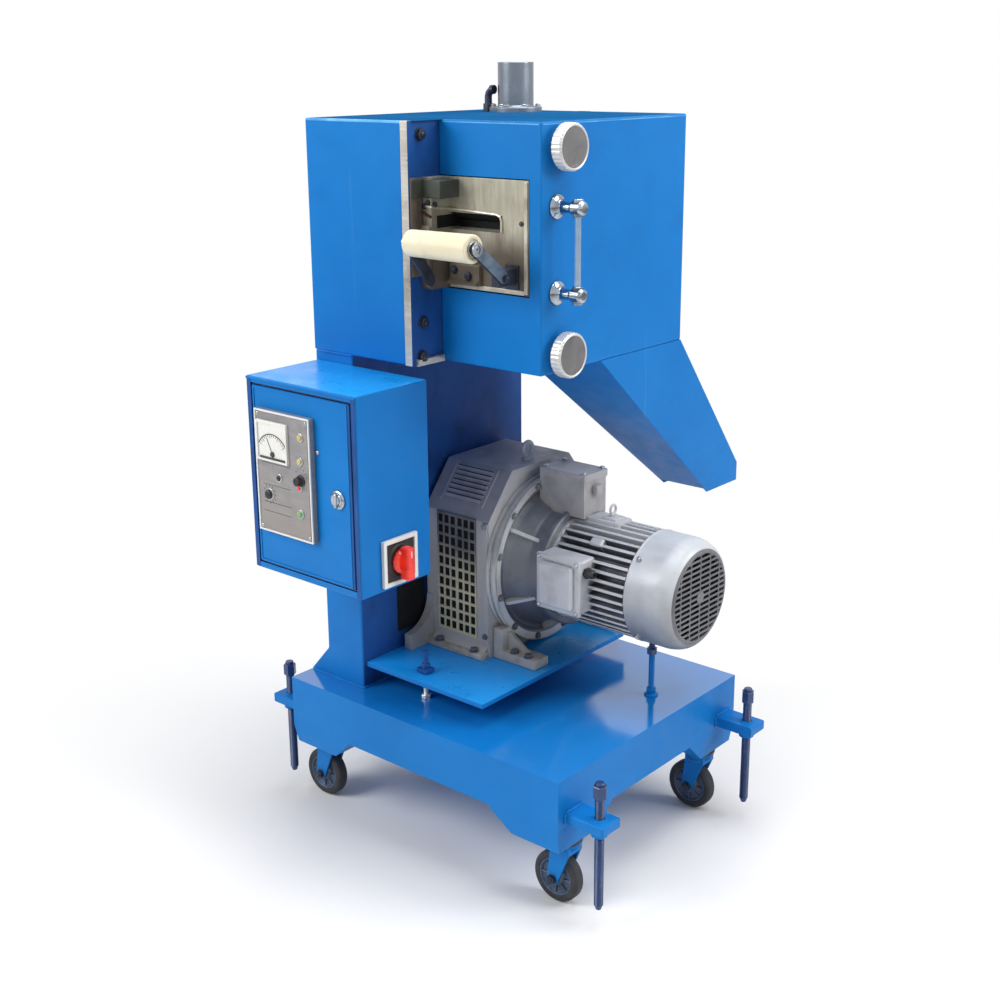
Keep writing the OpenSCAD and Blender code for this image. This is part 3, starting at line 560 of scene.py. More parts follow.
# the drive housing's top is darker as painted shade
soft("drive_housing", "blue_paint", 4, 2, second=("roof_painted_shade", upward))
for start, end, z, r in ((6, 0, base_top + 1, 3), (62, 4, hlo.z - 1, 2.6)):
    weld([(clo.x + start, clo.y - 1, z), (chi.x, clo.y - 1, z), (chi.x + 1, clo.y, z), (chi.x + 1, chi.y - end, z)],
        r, 2.6)
# the side plate's right face is blue paint, darkened to navy as painted shade in the recess behind the hood
soft("side_plate", "ground_steel", 1.2, 0.6, second=("navy_and_painted_shade", lambda n, c: n.x > 0.7 and c.x < phi.x - 4))
# a blue cap on the side plate's top, in the same painted shade as the other tops
piece("side_plate_cap", Form().brick((plo.x, plo.y + 12, phi.z - 1), (phi.x, phi.y - 1, phi.z + 0.4), 0.3, 1),
    "roof_painted_shade")
head_bolts = Form()
for dy, z in ((31, phi.z - 24), (30, plo.z + 78), (25, plo.z + 16)):
    head_bolts.bolt("x", (phi.x - 8, plo.y + dy, z), 11)
for z, x in product((hlo.z + 60, hhi.z - 60), (hlo.x + 26, phi.x - 40)):
    head_bolts.bolt("y", (x, hhi.y, z), 10)
piece("head_bolts", head_bolts, "dark_steel")
# service cover on the left side of the drive housing
piece("service_cover", Form().brick((hlo.x - 4, hlo.y + 60, hlo.z + 50), (hlo.x + 1, hhi.y - 60, hhi.z - 50), 2),
    "blue_paint")
cover_screws = Form()
for y, z in product((hlo.y + 78, hc.y, hhi.y - 78), (hlo.z + 68, hhi.z - 68)):
    cover_screws.bolt("x", (hlo.x - 4, y, z), 7, -1)
piece("service_cover_screws", cover_screws, "zinc_steel")

# the hood's top is darker as painted shade
soft("cutter_hood", "blue_paint", 4, 0.8, second=("roof_painted_shade", upward))
soft("discharge_chute", "blue_paint", 2.4, 0.8, pick=lambda e: e.calc_length() > 30
    and all(f.calc_area() > 300 for f in e.link_faces) and e.calc_face_angle(0) < radians(80))
# painted highlight: pale strips along the top edges: front of the housing, front and right side of the hood
edge_highlights = Form()
y, z = hood_lo.y + 3.8, hood_hi.z - 3.8
edge_highlights.tube([(hlo.x + 5, hlo.y + 3.8, hhi.z - 3.8), (plo.x - 1, hlo.y + 3.8, hhi.z - 3.8)], EDGE_R, 20)
edge_highlights.tube([(phi.x + 2, y, z), (hood_hi.x - 5, y, z)], EDGE_R, 20)
edge_highlights.tube([(hood_hi.x - 3.8, hood_lo.y + 5, z), (hood_hi.x - 3.8, hood_hi.y - 5, z)], EDGE_R, 20)
piece("head_edge_painted_highlights", edge_highlights, "edge_painted_highlight")

# feed plate (f), cheek (e), mouth (m), clamp (g)
flo, fhi, _ = B("feed_plate")
elo, ehi, _ = B("feed_cheek")
mlo, mhi, _ = B("feed_mouth")
glo, ghi, _ = B("feed_clamp")
cheek_y = elo.y + 6
soft("feed_plate", "feed_steel_stains_and_painted_reflection", 1.2, 0.5)
soft("feed_cheek", "feed_steel_stains_and_painted_reflection", 1.2, 0.5)
# the mouth's inner walls are near black as painted shade
soft("feed_mouth", "rim_steel", 1.0, 0.5, second=("black_and_painted_shade", lambda n, c: n.z < 0.2 and c.x < mhi.x - 12))
soft("feed_clamp", "clamp_dark", 2.0, 1)
piece("feed_liner", Form().brick((elo.x, plo.y + 3, elo.z + 24), (elo.x + 2.4, cheek_y + 2, ehi.z), 0.8),
    "grimy_steel")
piece("clamp_strap", Form().brick((elo.x, plo.y + 5, glo.z), (elo.x + 5, cheek_y + 1, ghi.z), 1.2), "clamp_dark")
y = flo.y - 1.5
piece("mouth_lip", Form().tube([(elo.x + 3, cheek_y - 1, mhi.z + 3), (ehi.x, cheek_y - 1, mhi.z + 1),
    (ehi.x + 1, y - 0.5, mhi.z - 4), (mhi.x - 24, y, mhi.z - 8.5), (mhi.x - 16, y, mhi.z - 12),
    (mhi.x - 13, y, mhi.z - 19), (mhi.x - 13, y, mlo.z + 9)], 2.4), "rim_steel")
rim = Form().brick((fhi.x - 9, flo.y - 2.4, flo.z + 3), (fhi.x - 1, flo.y + 1, fhi.z - 3))
rim.brick((flo.x + 2, flo.y - 2, flo.z + 1), (fhi.x - 9, flo.y + 1, flo.z + 9))
piece("feed_plate_rim", rim, "rim_steel")
# dark sheets in the mouth and on the cheek's side: painted shade that carries the slot on
dark = Form().brick((mlo.x + 2, mhi.y - 7, mlo.z + 11), (mhi.x - 19, mhi.y - 3, mlo.z + 23), 0.4, 1)
dark.brick((ehi.x - 1, cheek_y + 14, mlo.z + 11), (ehi.x + 0.7, mhi.y - 1, mlo.z + 33), 0.3, 1)
piece("mouth_painted_shade", dark, "black_and_painted_shade")
bolts = Form()
for x, z in ((elo.x + 15, glo.z - 8), (elo.x + 6, glo.z - 15)):
    bolts.bolt("y", (x, cheek_y, z), 5, -1)
bolts.bolt("x", (ehi.x, cheek_y + 8, glo.z - 12), 5)
bolts.bolt("y", (fhi.x - 15, flo.y, fhi.z - 74), 5, -1, False)
for x, z in ((20, 34), (54, 25)):
    bolts.bolt("y", (mlo.x + x, flo.y - 9, flo.z + z), 7.5, -1)
piece("feed_bolts", bolts, "dark_steel")
x, y, z = mlo.x, flo.y - 9, flo.z
lug = Form().brick((x + 6, y, z + 8), (x + 78, y + 10, z + 46), 2.5)
lug.prism([(y, z + 10), (y, z + 18), (y - 11, z + 10)], "x", x + 8, x + 76, 0.6)
piece("feed_lug", lug, "feed_steel_stains_and_painted_reflection")
# the stop rail slopes down along the front of the cheek
piece("feed_rail", Form().tube([(elo.x + 1, cheek_y - 2, glo.z - 25), (ehi.x, cheek_y - 2, glo.z - 33)], 2.6),
    "worn_red")

# roller and its arms
ARM_T, ARM_R = 6, 11.5
AXLE_R = 6
LEFT_ARM = 11

rlo, rhi, rc = B("guide_roller")
at = (0, rc.y, rc.z)
rr = (rhi.z - rlo.z) / 2
x0, x1 = rlo.x + 20, rhi.x - 9
roller = Form().lathe([(x0, 17), (x0, rr - 3.5), (x0 + 1.5, rr - 1.5), (x1 - 1.5, rr), (x1, rr - 2), (x1, 17),
    (x1 - 3, 16), (x1 - 3, 7)], "x", at, 72, 3.5, n=4)
roller.lathe([(x0, 17.2), (x0 + 3, 16), (x0 + 3, 7)], "x", at, 48)
piece("roller_body", roller, "nylon", "guide_roller", "guide_roller")
axle = Form()
for s, x, end in ((-1, x0, rlo.x + LEFT_ARM), (1, x1, rhi.x)):
    axle.lathe([(x - s * 3, 13), (x + s * 0.6, 12.4), (x + s * 0.6, 8.4), (x - s, 8), (x - s, AXLE_R)], "x", at, 40,
        0.8)
    axle.lathe([(x - s * 4, AXLE_R), (end - s * 0.5, AXLE_R), (end, 5.4), (end, 2.4), (end - s * 3, 2.2),
        (end - s * 3, 0)], "x", at, 28, 0.5)
piece("roller_axle", axle, "zinc_steel", "guide_roller")
arm_lo, arm_hi, _ = B("roller_arms")
# the left arm is dark steel as painted shade, and both arms' narrow edges are dark as painted shade
for name, x, fy, fz, mat in (("arm_right", arm_hi.x - ARM_T, flo.y - 42, arm_lo.z + 29, "steel_blue"),
        ("arm_left", arm_lo.x + LEFT_ARM, elo.y - 6, arm_lo.z + 12, "dark_steel")):
    # straight sides from the roller's end to the foot, a round end at the roller, a blunt one at the foot
    eye, foot = V(rc.y, rc.z), V(fy, fz)
    way = (foot - eye).normalized()
    side = V(-way.y, way.x) * ARM_R
    tip = foot + way * 9
    outline = [eye + side, foot + side, tip + side / 2, tip - side / 2, foot - side, eye - side]
    outline += [eye - side * cos(t) - way * ARM_R * sin(t) for t in turns(16)[1:8]]
    piece(name, Form().prism(outline, "x", x, x + ARM_T, 0.8), mat, replaces="roller_arms",
        second=("dark_steel", lambda n, c: abs(n.x) < 0.5))
collar = Form()
for x, s in ((arm_hi.x, 1), (arm_lo.x + LEFT_ARM, -1)):
    collar.lathe([(0, 7), (0, 12.5), (s * 2.2, 12.5), (s * 2.2, 7)], "x", (x, rc.y, rc.z), 32, 0.6)
piece("roller_collars", collar, "zinc_steel")
x, y, z = arm_hi.x, flo.y, arm_lo.z
bracket = Form().brick((x - 24, y - 50, z + 12), (x - ARM_T, y + 1, z + 42), 2)
bracket.brick((x - 32, y - 4, z + 2), (x - 2, y + 1, z + 46))
bracket.bolt("x", (x, y - 40, z + 28), 7)
piece("arm_bracket", bracket, "dark_steel")

# hand nuts: finely scalloped rim, wide shallow dish
for place in ("upper", "lower"):
    nut = "hand_nut_" + place
    lo, hi, c = B(nut)
    nr = (hi.z - lo.z) / 2
    x0, x1, at = lo.x, hi.x, (0, c.y, c.z)
    piece("nut_rim_" + place, Form().lathe([(x0, nr - 15), (x0 + 8, nr - 15), (x0 + 9.5, nr - 4), (x0 + 12, nr),
        (x1 - 4, nr), (x1 - 0.6, nr - 3), (x1 - 0.8, nr - 4.6), (x1 - 2.2, nr - 5.4), (x1 - 2.6, nr - 8)], "x", at,
        240, 1.6, lambda t, r: 1 - (0.022 * abs(sin(15 * t)) ** 4 if r > nr - 2.5 else 0)), "rim_white", nut, nut)
    face = Form().lathe([(x1 - 2.2, nr - 5.2), (x1 - 1.9, nr - 8), (x1 - 3, nr - 14), (x1 - 3.4, 12), (x1 - 3.4, 0)],
        "x", at, 64, 3)
    face.drum("x", at, nr - 15.5, x0, x0 + 0.6, 40)
    piece("nut_face_" + place, face, "knob_steel", nut)

# pull handle
GRIP_OUT = 46

lo, hi, c = B("pull_handle")
handle = Form()
for z in (lo.z + 22, hi.z - 22):
    length = hi.x - lo.x
    handle.lathe([(0, 0), (0, 22), (3, 22), (5, 20), (8, 14), (12, 10), (33, 9.2), (36, 11), (37, 13.5), (55, 13.5),
        (length - 1.5, 12), (length, 8), (length, 0)], "x", (lo.x, c.y, z), 48, 1.8)
    handle.drum("z", (lo.x + GRIP_OUT, c.y, z), 9.5, -16, 16, 40, 2)
piece("pull_handle_posts", handle, "chrome", replaces="pull_handle")
# the bar's blue tint is painted reflection
piece("pull_handle_bar", Form().drum("z", (lo.x + GRIP_OUT, c.y, 0), 5.5, lo.z + 24, hi.z - 24, 40), "chrome_painted_blue_reflection",
    replaces="pull_handle")

# suction pipe on the drive housing, with a vent elbow beside it
lo, hi, c = B("suction_pipe")
at = (c.x, c.y, lo.z)
h = hi.z - lo.z
piece("suction_pipe_turned", Form().lathe([(0, 53), (8.5, 53), (10, 51), (10, 38), (13, 36), (h - 1, 36), (h, 35.2),
    (h, 33.4), (h - 1, 33), (0, 33)], "z", at, 96, 0.8), "stainless", replaces="suction_pipe")
pipe_bolts = Form()
for t in turns(6, 0.5):
    pipe_bolts.bolt("z", spot("z", 10, 45 * cos(t), 45 * sin(t), at), 6)
piece("pipe_flange_bolts", pipe_bolts, "zinc_steel")
foot = V(c.x - 52, c.y - 24, lo.z)
elbow = Form().hexagon("z", foot, 11, 0, 16)
elbow.tube([foot + V(x, 0, z) for x, z in ((0, 14), (0, 30), (2, 36), (7, 41), (14, 43))], 7.5, 20)
elbow.drum("x", foot + V(8, 0, 43), 9, 0, 8, 24)
piece("vent_elbow", elbow, "dark_steel")
piece("weld_beads", welds, "blue_paint")

# ---------------------------------------------------------------- control box

RIM = 3.6

blo, bhi, _ = B("control_box")
dlo, dhi, _ = B("control_door")
door_y = blo.y
# the control box's top takes the lighter blue as painted light
soft("control_box", "blue_paint", 3, 0.5, least=20, second=("top_painted_light", upward))
soft("control_door", "blue_paint", 0.8, 0.5, body="door", least=12, pick=lambda e: False)
piece("door_hem", Form().border("y", (dlo.x + 1, door_y - 1.6, dlo.z + 1), (dhi.x - 6, door_y + 0.8, dhi.z - 1),
    ((4, 4), (4, 4)), 0.8), "blue_paint", "door")
# painted shade: a navy strip on the door's right edge
piece("door_edge_painted_shade", Form().brick((dhi.x - 5, door_y - 0.7, dlo.z), (dhi.x, door_y + 1, dhi.z), 0.3, 1), "navy_and_painted_shade",
    "door")
# painted shade: navy strips on the box's rims beside the door
rims = Form()
for x0, x1 in ((blo.x + 1.5, dlo.x - RIM), (dhi.x + RIM, bhi.x - 2)):
    rims.brick((x0, door_y - 0.7, blo.z + 2), (x1, door_y + 1, bhi.z - 7), 0.3, 1)
piece("box_rim_painted_shade", rims, "navy_and_painted_shade")
piece("box_gutter", Form().brick((blo.x + 1, door_y - 3, bhi.z - 6), (bhi.x - 1, door_y + 1, bhi.z - 1), 1.4),
    "blue_paint")
piece("door_seal", Form().border("y", (dlo.x - 3.4, door_y + 3.2, dlo.z - 3.4),
    (dhi.x + 3.4, door_y + 5, dhi.z + 3.4), ((2.8, 2.8), (1.8, 2.8)), 0.5, 1), "blue_dark")
screws = Form()
for z, y in product((blo.z + 24, bhi.z - 24), (door_y + 26, bhi.y - 22)):
    screws.lathe([(0, 5), (-1.6, 4.4), (-2.4, 2.6), (-2.4, 0)], "x", (blo.x, y, z), 20, 0.8)
piece("box_screws", screws, "zinc_steel")

# instrument panel with its meter
NEEDLE_R, TICK_R = 0.5, 0.45

lo, hi, _ = B("instrument_panel")
left, front, low = lo.x + 7, lo.y, lo.z + 8
right, _, high = hi
piece("panel_plate", Form().brick((left, front, low), hi, 1.6).brick((left + 6, front - 0.8, low + 6),
    (right - 6, front + 1, high - 6), 0.5), "panel_silver", "door", "instrument_panel")
piece("panel_border", Form().border("y", (left, front - 2, low), (right, front + 1, high), ((3.4, 3.4), (3.4, 3.4)),
    0.8), "white_plastic", "door")
lo, hi, _ = B("panel_meter")
lo, hi = lo + V(6, 0, -3), hi + V(4, 0, -3)
bezel = Form().brick(lo + V(0, 1, 0), hi, 1.2)
bezel.border("y", (lo.x, lo.y - 2, lo.z), (hi.x, lo.y + 2, hi.z), ((4, 5), (4, 4)), 1)
piece("meter_case", bezel, "white_plastic", "door", "panel_meter")
pivot = V((lo.x + hi.x) / 2, lo.y, lo.z + 14)


def radial(angle, x_scale, z_scale, y):
    """A point of the meter's scale, from the needle's pivot."""
    return pivot + V(x_scale * cos(angle), y, z_scale * sin(angle))


scale = Form()
arc = [radians(28 + k * 124 / 28) for k in range(29)]
for k in range(0, 29, 2):
    n = 7 if k % 8 == 0 else 4
    scale.tube([radial(arc[k], 37, 37, 0.8), radial(arc[k], 37 - n, 37 - n, 0.8)], TICK_R, 6)
scale.tube([radial(t, 41, 38, 0.7) for t in arc], 0.9, 8)
needle = radians(116)
scale.tube([radial(needle, 0, 0, 0.3), radial(needle, 32, 32, 0.3)], NEEDLE_R, 6)
scale.lathe([(-2.6, 0), (-2.6, 4), (-1, 5.5), (1, 5.5)], "y", pivot + V(0, 0.6, 0), 28)
scale.brick((lo.x + 8, lo.y - 0.6, lo.z + 4), (hi.x - 8, lo.y + 1, lo.z + 8), 0.4)
piece("meter_scale", scale, "ink", "door")

# lamps and buttons: a collar and a dome each
kx = right - 24
for name, x, z, r, mat, proud in (("indicator_a", kx, high - 37, 5.5, "lamp_amber", 6),
        ("indicator_b", kx - 3, high - 82, 5.5, "lamp_amber", 6),
        ("button_small", kx - 7, low + 101, 4.5, "red_plastic", 5),
        ("indicator_c", kx - 7, low + 51, 6, "lamp_green", 6),
        ("button_left", left + 33, low + 74, 9, "black_plastic", 8),
        ("button_mid", left + 62, low + 110, 5.5, "black_plastic", 5)):
    at = (x, front, z)
    piece(name + "_collar", Form().lathe([(-0.5, r + 3.2), (-2.6, r + 3), (-3, r + 1), (-3, r - 1)], "y", at, 36,
        0.7), "zinc_steel", "door")
    piece(name + "_cap", Form().lathe([(0, r), (-proud * 0.7, r), (-proud, r * 0.72), (-proud, 0)], "y", at, 36,
        r * 0.3), mat, "door")
screws = Form()
corners = product((left + 9, right - 9), (front,), (low + 9, high - 9))
for x, y, z in (*corners, (right + 7, door_y, high - 62)):
    screws.lathe([(-0.6, 4.2), (-2.4, 3.6), (-3, 2), (-3, 0)], "y", (x, y, z), 20, 0.8)
piece("panel_screws", screws, "zinc_steel", "door")
marks = Form()
for x, z, n in ((kx - 2, low + 124, 13), (left + 33, low + 74, 15)):
    for k in range(11):
        t = radians(-60 + k * 30)
        marks.tube([(x + q * sin(t), front - 0.9, z + q * cos(t)) for q in (n, n + 3.5)], TICK_R, 6)
for z in (low + 92, low + 58, low + 40, high - 100):
    marks.brick((left + 16, front - 1.2, z), (left + 92, front, z + 0.9), 0.2, 1)
piece("panel_marks", marks, "ink", "door")

# speed knob
lo, hi, c = B("speed_knob")
piece("speed_knob_turned", Form().lathe([(hi.y, 0), (hi.y, 11), (hi.y - 2.5, 11), (hi.y - 3.5, 9), (lo.y + 1, 8),
    (lo.y, 6.6), (lo.y, 0)], "y", (c.x, 0, c.z), 96, 0.8, knurl(0.06, 24, 7.5, 9.5)), "black_plastic", "speed_knob",
    "speed_knob")
piece("speed_knob_line", Form().brick((c.x - 0.6, lo.y, c.z + 1), (c.x + 0.6, lo.y + 0.8, c.z + 6.4), 0.2, 1),
    "white_plastic", "speed_knob")

# door latch: rosette and wing on a spindle through the door
lo, hi, c = B("door_latch")
x, y, z = c.x, door_y, lo.z + 14
piece("latch_rose", Form().lathe([(-0.2, 8), (-0.2, 18), (-2.4, 18), (-4, 15.5), (-4.6, 12), (-4.6, 8)], "y",
    (x - 3, y, z - 1), 56, 1), "chrome", "door")
latch = Form().lathe([(-4, 8), (-4, 11.5), (-6, 11), (-7, 8.5), (-7, 0)], "y", (x, y, z), 48, 1)
latch.lathe([(-6, 7.6), (-9, 7.6), (-10, 6.6), (-10, 0)], "y", (x, y, z), 32)
latch.brick((x - 3.6, y - 13, z - 13.5), (x + 3.6, y - 5.5, z + 13.5), 2.4, 3)
latch.lathe([(-0.8, 0), (-0.8, 7.4), (-0.3, 7.9), (9.3, 7.9), (9.8, 7.4), (9.8, 0)], "y", (x, y, z), 32)
latch.brick((x - 6, y + 7, z - 6), (x + 6, y + 10, hi.z), 0.8)
piece("latch_wing", latch, "chrome", "door_latch", "door_latch")

# isolator: white frame, black well, red grip
FRAME_W = 8.5

olo, ohi, _ = B("isolator_base")
lo, hi, c = B("isolator_handle")
disc_r = (hi.z - lo.z) / 2 - 5
at = (0, c.y, c.z)
piece("isolator_frame", Form().border("x", olo, ohi, ((FRAME_W, FRAME_W), (FRAME_W, FRAME_W)), 1.6), "white_plastic",
    replaces="isolator_base")
well = Form().brick((olo.x + 0.5, olo.y + 4, olo.z + 4), (ohi.x - 3, ohi.y - 4, ohi.z - 4))
well.lathe([(ohi.x - 3, disc_r + 9), (ohi.x - 0.6, disc_r + 7), (ohi.x - 0.6, 0)], "x", at, 48, 1)
piece("isolator_well", well, "black_plastic")
grip = Form().lathe([(lo.x, 0), (lo.x, disc_r), (lo.x + 5, disc_r), (lo.x + 11, disc_r - 4), (lo.x + 12, 0)], "x", at,
    72, 1.6, knurl(0.035, 18, disc_r - 5))
grip.brick((lo.x + 4, c.y - 9.5, lo.z - 5), (hi.x, c.y + 9.5, hi.z), 4, 4)
piece("isolator_grip", grip, "red_plastic", "isolator_handle", "isolator_handle")
piece("isolator_mark", Form().brick((hi.x - 0.6, c.y - 1.2, c.z + 10), (hi.x + 0.4, c.y + 1.2, hi.z - 6), 0.2, 1),
    "white_plastic", "isolator_handle")

# ---------------------------------------------------------------- motor plate and supports

slo, shi, c = B("plate_stud")
plate_lo, plate_hi, _ = B("motor_plate")
# the motor plate's top takes the lighter blue as painted light
soft("motor_plate", "blue_paint", 1.6, 0.6, second=("top_painted_light", upward))
axis, under, over = (c.x, c.y, 0), (c.x, c.y, plate_lo.z), (c.x, c.y, plate_hi.z)
stud = Form()
for a0, a1 in ((slo.z + 2, plate_lo.z), (plate_hi.z + 6, shi.z - 1)):
    stud.thread("z", axis, 5.6, a0, a1, 1.8, 14)
stud.hexagon("z", axis, 9.6, slo.z, slo.z + 8)
stud.hexagon("z", under, 9.6, -8, 0)
stud.drum("z", over, 13, 0, 2)
stud.brick((c.x - 14, c.y - 12, plate_hi.z + 1.5), (c.x + 14, c.y + 12, plate_hi.z + 10), 1.2)
stud.hexagon("z", over, 9.4, 10, 19)
piece("stud_set", stud, "navy_and_painted_shade", replaces="plate_stud", second=("rim_white", lambda n, c: c.z < plate_lo.z))
plo, phi, c = B("motor_prop")
foot, head = (c.x, c.y, plo.z), (c.x, c.y, phi.z)
prop = Form().thread("z", (c.x, c.y, 0), 6.2, plo.z + 4, phi.z - 6, 2, 14)
prop.lathe([(0, 0), (0, 14), (3, 14), (7, 7), (7, 0)], "z", foot, 32, 1)
prop.hexagon("z", foot, 11, 90, 102)
prop.hexagon("z", foot, 10.5, 8, 16)
prop.lathe([(-10, 0), (-10, 9), (-1, 10), (-1, 0)], "z", head, 28)
piece("prop_screw", prop, "blue_dark", replaces="motor_prop", second=("blue_paint", lambda n, c: c.z < plo.z + 88))

# ---------------------------------------------------------------- clutch and motor

ulo, uhi, _ = B("clutch_housing")
wlo, whi, c = B("fan_cowl")
my, mz = c.y, c.z
shaft = (0, my, mz)
front_y, rear_y = 2 * my - uhi.y, uhi.y
SIDES = ((-1, front_y), (1, rear_y))


def off_shaft(c):
    """Distance of a point from the motor's shaft."""
    return hypot(c.y - my, c.z - mz)


# the clutch housing is darker above as painted shade
soft("clutch_housing", "cast_grey_painted_shade_above", 4, 2, pick=lambda e: abs((e.verts[0].co - e.verts[1].co).x) > 20,
    second=("foot_grey", lambda n, c: c.z < ulo.z + 60 or c.y < front_y - 4))
# a fillet above the front foot, a flange to the bell on both sides
trim = Form().prism([(front_y + 2, ulo.z + 12), (front_y + 2, ulo.z + 26), (front_y - 12, ulo.z + 12)], "x",
    ulo.x + 20, uhi.x - 6, 1.5)
for s, y in SIDES:
    trim.brick((uhi.x - 16, y, ulo.z + 30), (uhi.x - 2, y + s * 3, ulo.z + 286), 1.2)
piece("clutch_trim", trim, "cast_grey_painted_shade_above")
# a dark sheet on the column's right face: painted shadow under the control box, by the gap to the clutch housing
piece("column_painted_shadow", Form().brick((chi.x, clo.y + 101, ulo.z + 36), (chi.x + 2, clo.y + 182, ulo.z + 216), 0.8, 1),
    "black_and_painted_shade")

# grilles: six upright bars with wide solid strips between and at the ends, and a row of cross bars
GRILLE_ROWS, BAR_H = 11, 6.2

glo, ghi, _ = B("clutch_grilles")
# a dark sheet behind each grille: painted shade inside the housing
bars, dark = Form(), Form()
slots = [glo.x + first + step for first in (3.5, 55.5) for step in (0, 16.5, 33)]
stops = [glo.x] + [x + w for x in slots for w in (0, 12)] + [ghi.x]
for s, inner in SIDES:
    outer = glo.y if s < 0 else ghi.y
    ya, yb = sorted((outer, inner))
    dark.brick((glo.x + 3, inner, glo.z + 3), (ghi.x - 3, inner + s * 0.8, ghi.z - 3), 0.2, 1)
    for a, b in zip(stops[::2], stops[1::2]):
        bars.brick((a, ya, glo.z), (b, yb, ghi.z), 0.5, 1)
    for k in range(GRILLE_ROWS + 1):
        z = glo.z + k * (ghi.z - glo.z - 6) / GRILLE_ROWS
        bars.brick((glo.x + 1, ya + 0.25, z), (ghi.x - 1, yb - 0.25, z + BAR_H), 0.5, 1)
# the bars are dark grey above as painted shade
piece("clutch_grille_bars", bars, "grille_grey", replaces="clutch_grilles")
piece("clutch_grille_painted_shade", dark, "black_and_painted_shade")
# louvres on the sloping shoulders, drawn flat and turned onto the slope
# dark strips under the louvre gaps: painted shade
louvres, slots = Form(), Form()
for s, y in SIDES:
    low, top = V(0, y, ulo.z + 290), V(0, my + s * 92, uhi.z)
    up = (top - low).normalized()
    out = V(0, -up.z, up.y) * (1 if up.y > 0 else -1)
    slope = Matrix(((1, 0, 0, ulo.x + 34), (0, up.y, out.y, low.y), (0, up.z, out.z, low.z), (0, 0, 0, 1)))
    first = (top - low).length * 0.28
    for k in range(7):
        v = first + k * 10.5
        louvres.prism([(v, -0.5), (v + 7, 2.6), (v + 7.6, 2.2), (v + 7.6, -0.5)], "x", 0, 96, 0.3, 1, slope)
        slots.brick((2, v + 7.4, -0.4), (94, v + 9.8, 0.5), 0.1, 1, slope)
    for x in (-10, 100):
        louvres.brick((x, first - 8, -0.5), (x + 6, first + 80, 1.4), 0.5, 1, slope)
piece("clutch_louvres", louvres, "cast_grey_painted_shade_above")
piece("clutch_louvre_painted_shade", slots, "black_and_painted_shade")

# bell flange with its double rim, ribs and bolts
FOOT_OUT = 134

alo, _, _ = B("clutch_flange")
R = mz - alo.z - 4
fx = alo.x + 13
hub_at = (fx, my, mz)
ribs = Form()
for t in turns(6, 0.9):
    ribs.prism([(112, 44), (R - 32, 4), (R - 20, 6), (R - 24, 16), (118, 62), (112, 76)], "y", -4, 4, 1.5, 2,
        about("X", hub_at, t))
piece("bell_ribs", ribs, "motor_grey")
bell = Form().lathe([(-13, 0), (-13, R), (-4, R), (-3, R - 4), (1, R - 4), (2, R), (13, R), (13, R - 18), (6, R - 27),
    (6, R - 31), (14, R - 38), (44, 124), (48, 120), (88, 118), (88, 0)], "x", hub_at, 160, 2.4)
bell.lathe([(78, 108), (78, 126), (87, 126), (89.5, 122), (89.5, 108)], "x", hub_at, 96, 1.5)
# the bell is darker than its rims as painted shade
piece("bell_flange", bell, "bell_grey_painted_shade", replaces="clutch_flange",
    second=("motor_grey", lambda n, c: off_shaft(c) > R - 15))
feet = Form()
x, z = alo.x, alo.z
shoulder = mz - sqrt(R * R - FOOT_OUT * FOOT_OUT)
for y in (my - FOOT_OUT, my + FOOT_OUT):
    feet.brick((x, y - 22, z), (x + 110, y + 22, z + 20), 3)
    feet.brick((x + 0.2, y - 21.8, z + 2), (x + 26, y + 21.8, shoulder), 3)
    feet.prism([(z + 16, x + 20), (z + 16, x + 92), (z + 62, x + 20)], "y", y - 5, y + 5, 1.5)
piece("bell_feet", feet, "foot_grey", replaces="clutch_flange")
# bright machined edges of the two rims
edges = Form()
for a in (-3.5, 12.5):
    edges.lathe([(a - 1.6, R - 3), (a - 1.6, R + 0.2), (a + 0.9, R + 0.2), (a + 0.9, R - 3)], "x", hub_at, 160, 0.3)
piece("bell_edges", edges, "rim_steel")
fix = Form()
for count, a, r, d in ((12, 13, R - 9, 7), (6, 89, 118, 6)):
    for t in turns(count, 0.5):
        fix.bolt("x", spot("x", a, r * cos(t), r * sin(t), hub_at), d)
for s, y in SIDES:
    for a in (50, 86):
        fix.bolt("z", (x + a, my + s * (FOOT_OUT + 12), alo.z + 20), 9)
    for a in (46, 280):
        fix.bolt("y", (uhi.x - 9, y + 3 * s, ulo.z + a), 6, s)
for a in (ulo.x + 46, uhi.x - 30):
    fix.bolt("z", (a, front_y - 15, ulo.z + 13), 9)
piece("motor_fixings", fix, "bell_grey_painted_shade")

soft("coil_terminal_box", "cast_grey_painted_shade_above", 4, 2, least=16)
lo, hi, c = B("coil_terminal_box")
lid = Form().brick((lo.x + 3, lo.y - 3, hi.z - 16), hi + V(3, 3, 1), 3)
lid.brick((hi.x - 2, c.y - 10, hi.z - 44), (hi.x + 12, c.y + 10, hi.z - 24), 3)
piece("coil_box_lid", lid, "cast_grey_painted_shade_above")
lid_screws = Form()
for x, y in product((lo.x + 11, hi.x - 5), (lo.y + 6, hi.y - 6)):
    lid_screws.bolt("z", (x, y, hi.z + 1), 6, 1, False)
piece("coil_box_screws", lid_screws, "zinc_steel")

# motor body: core, axial fins, end shields, lifting pad
FINS = 40

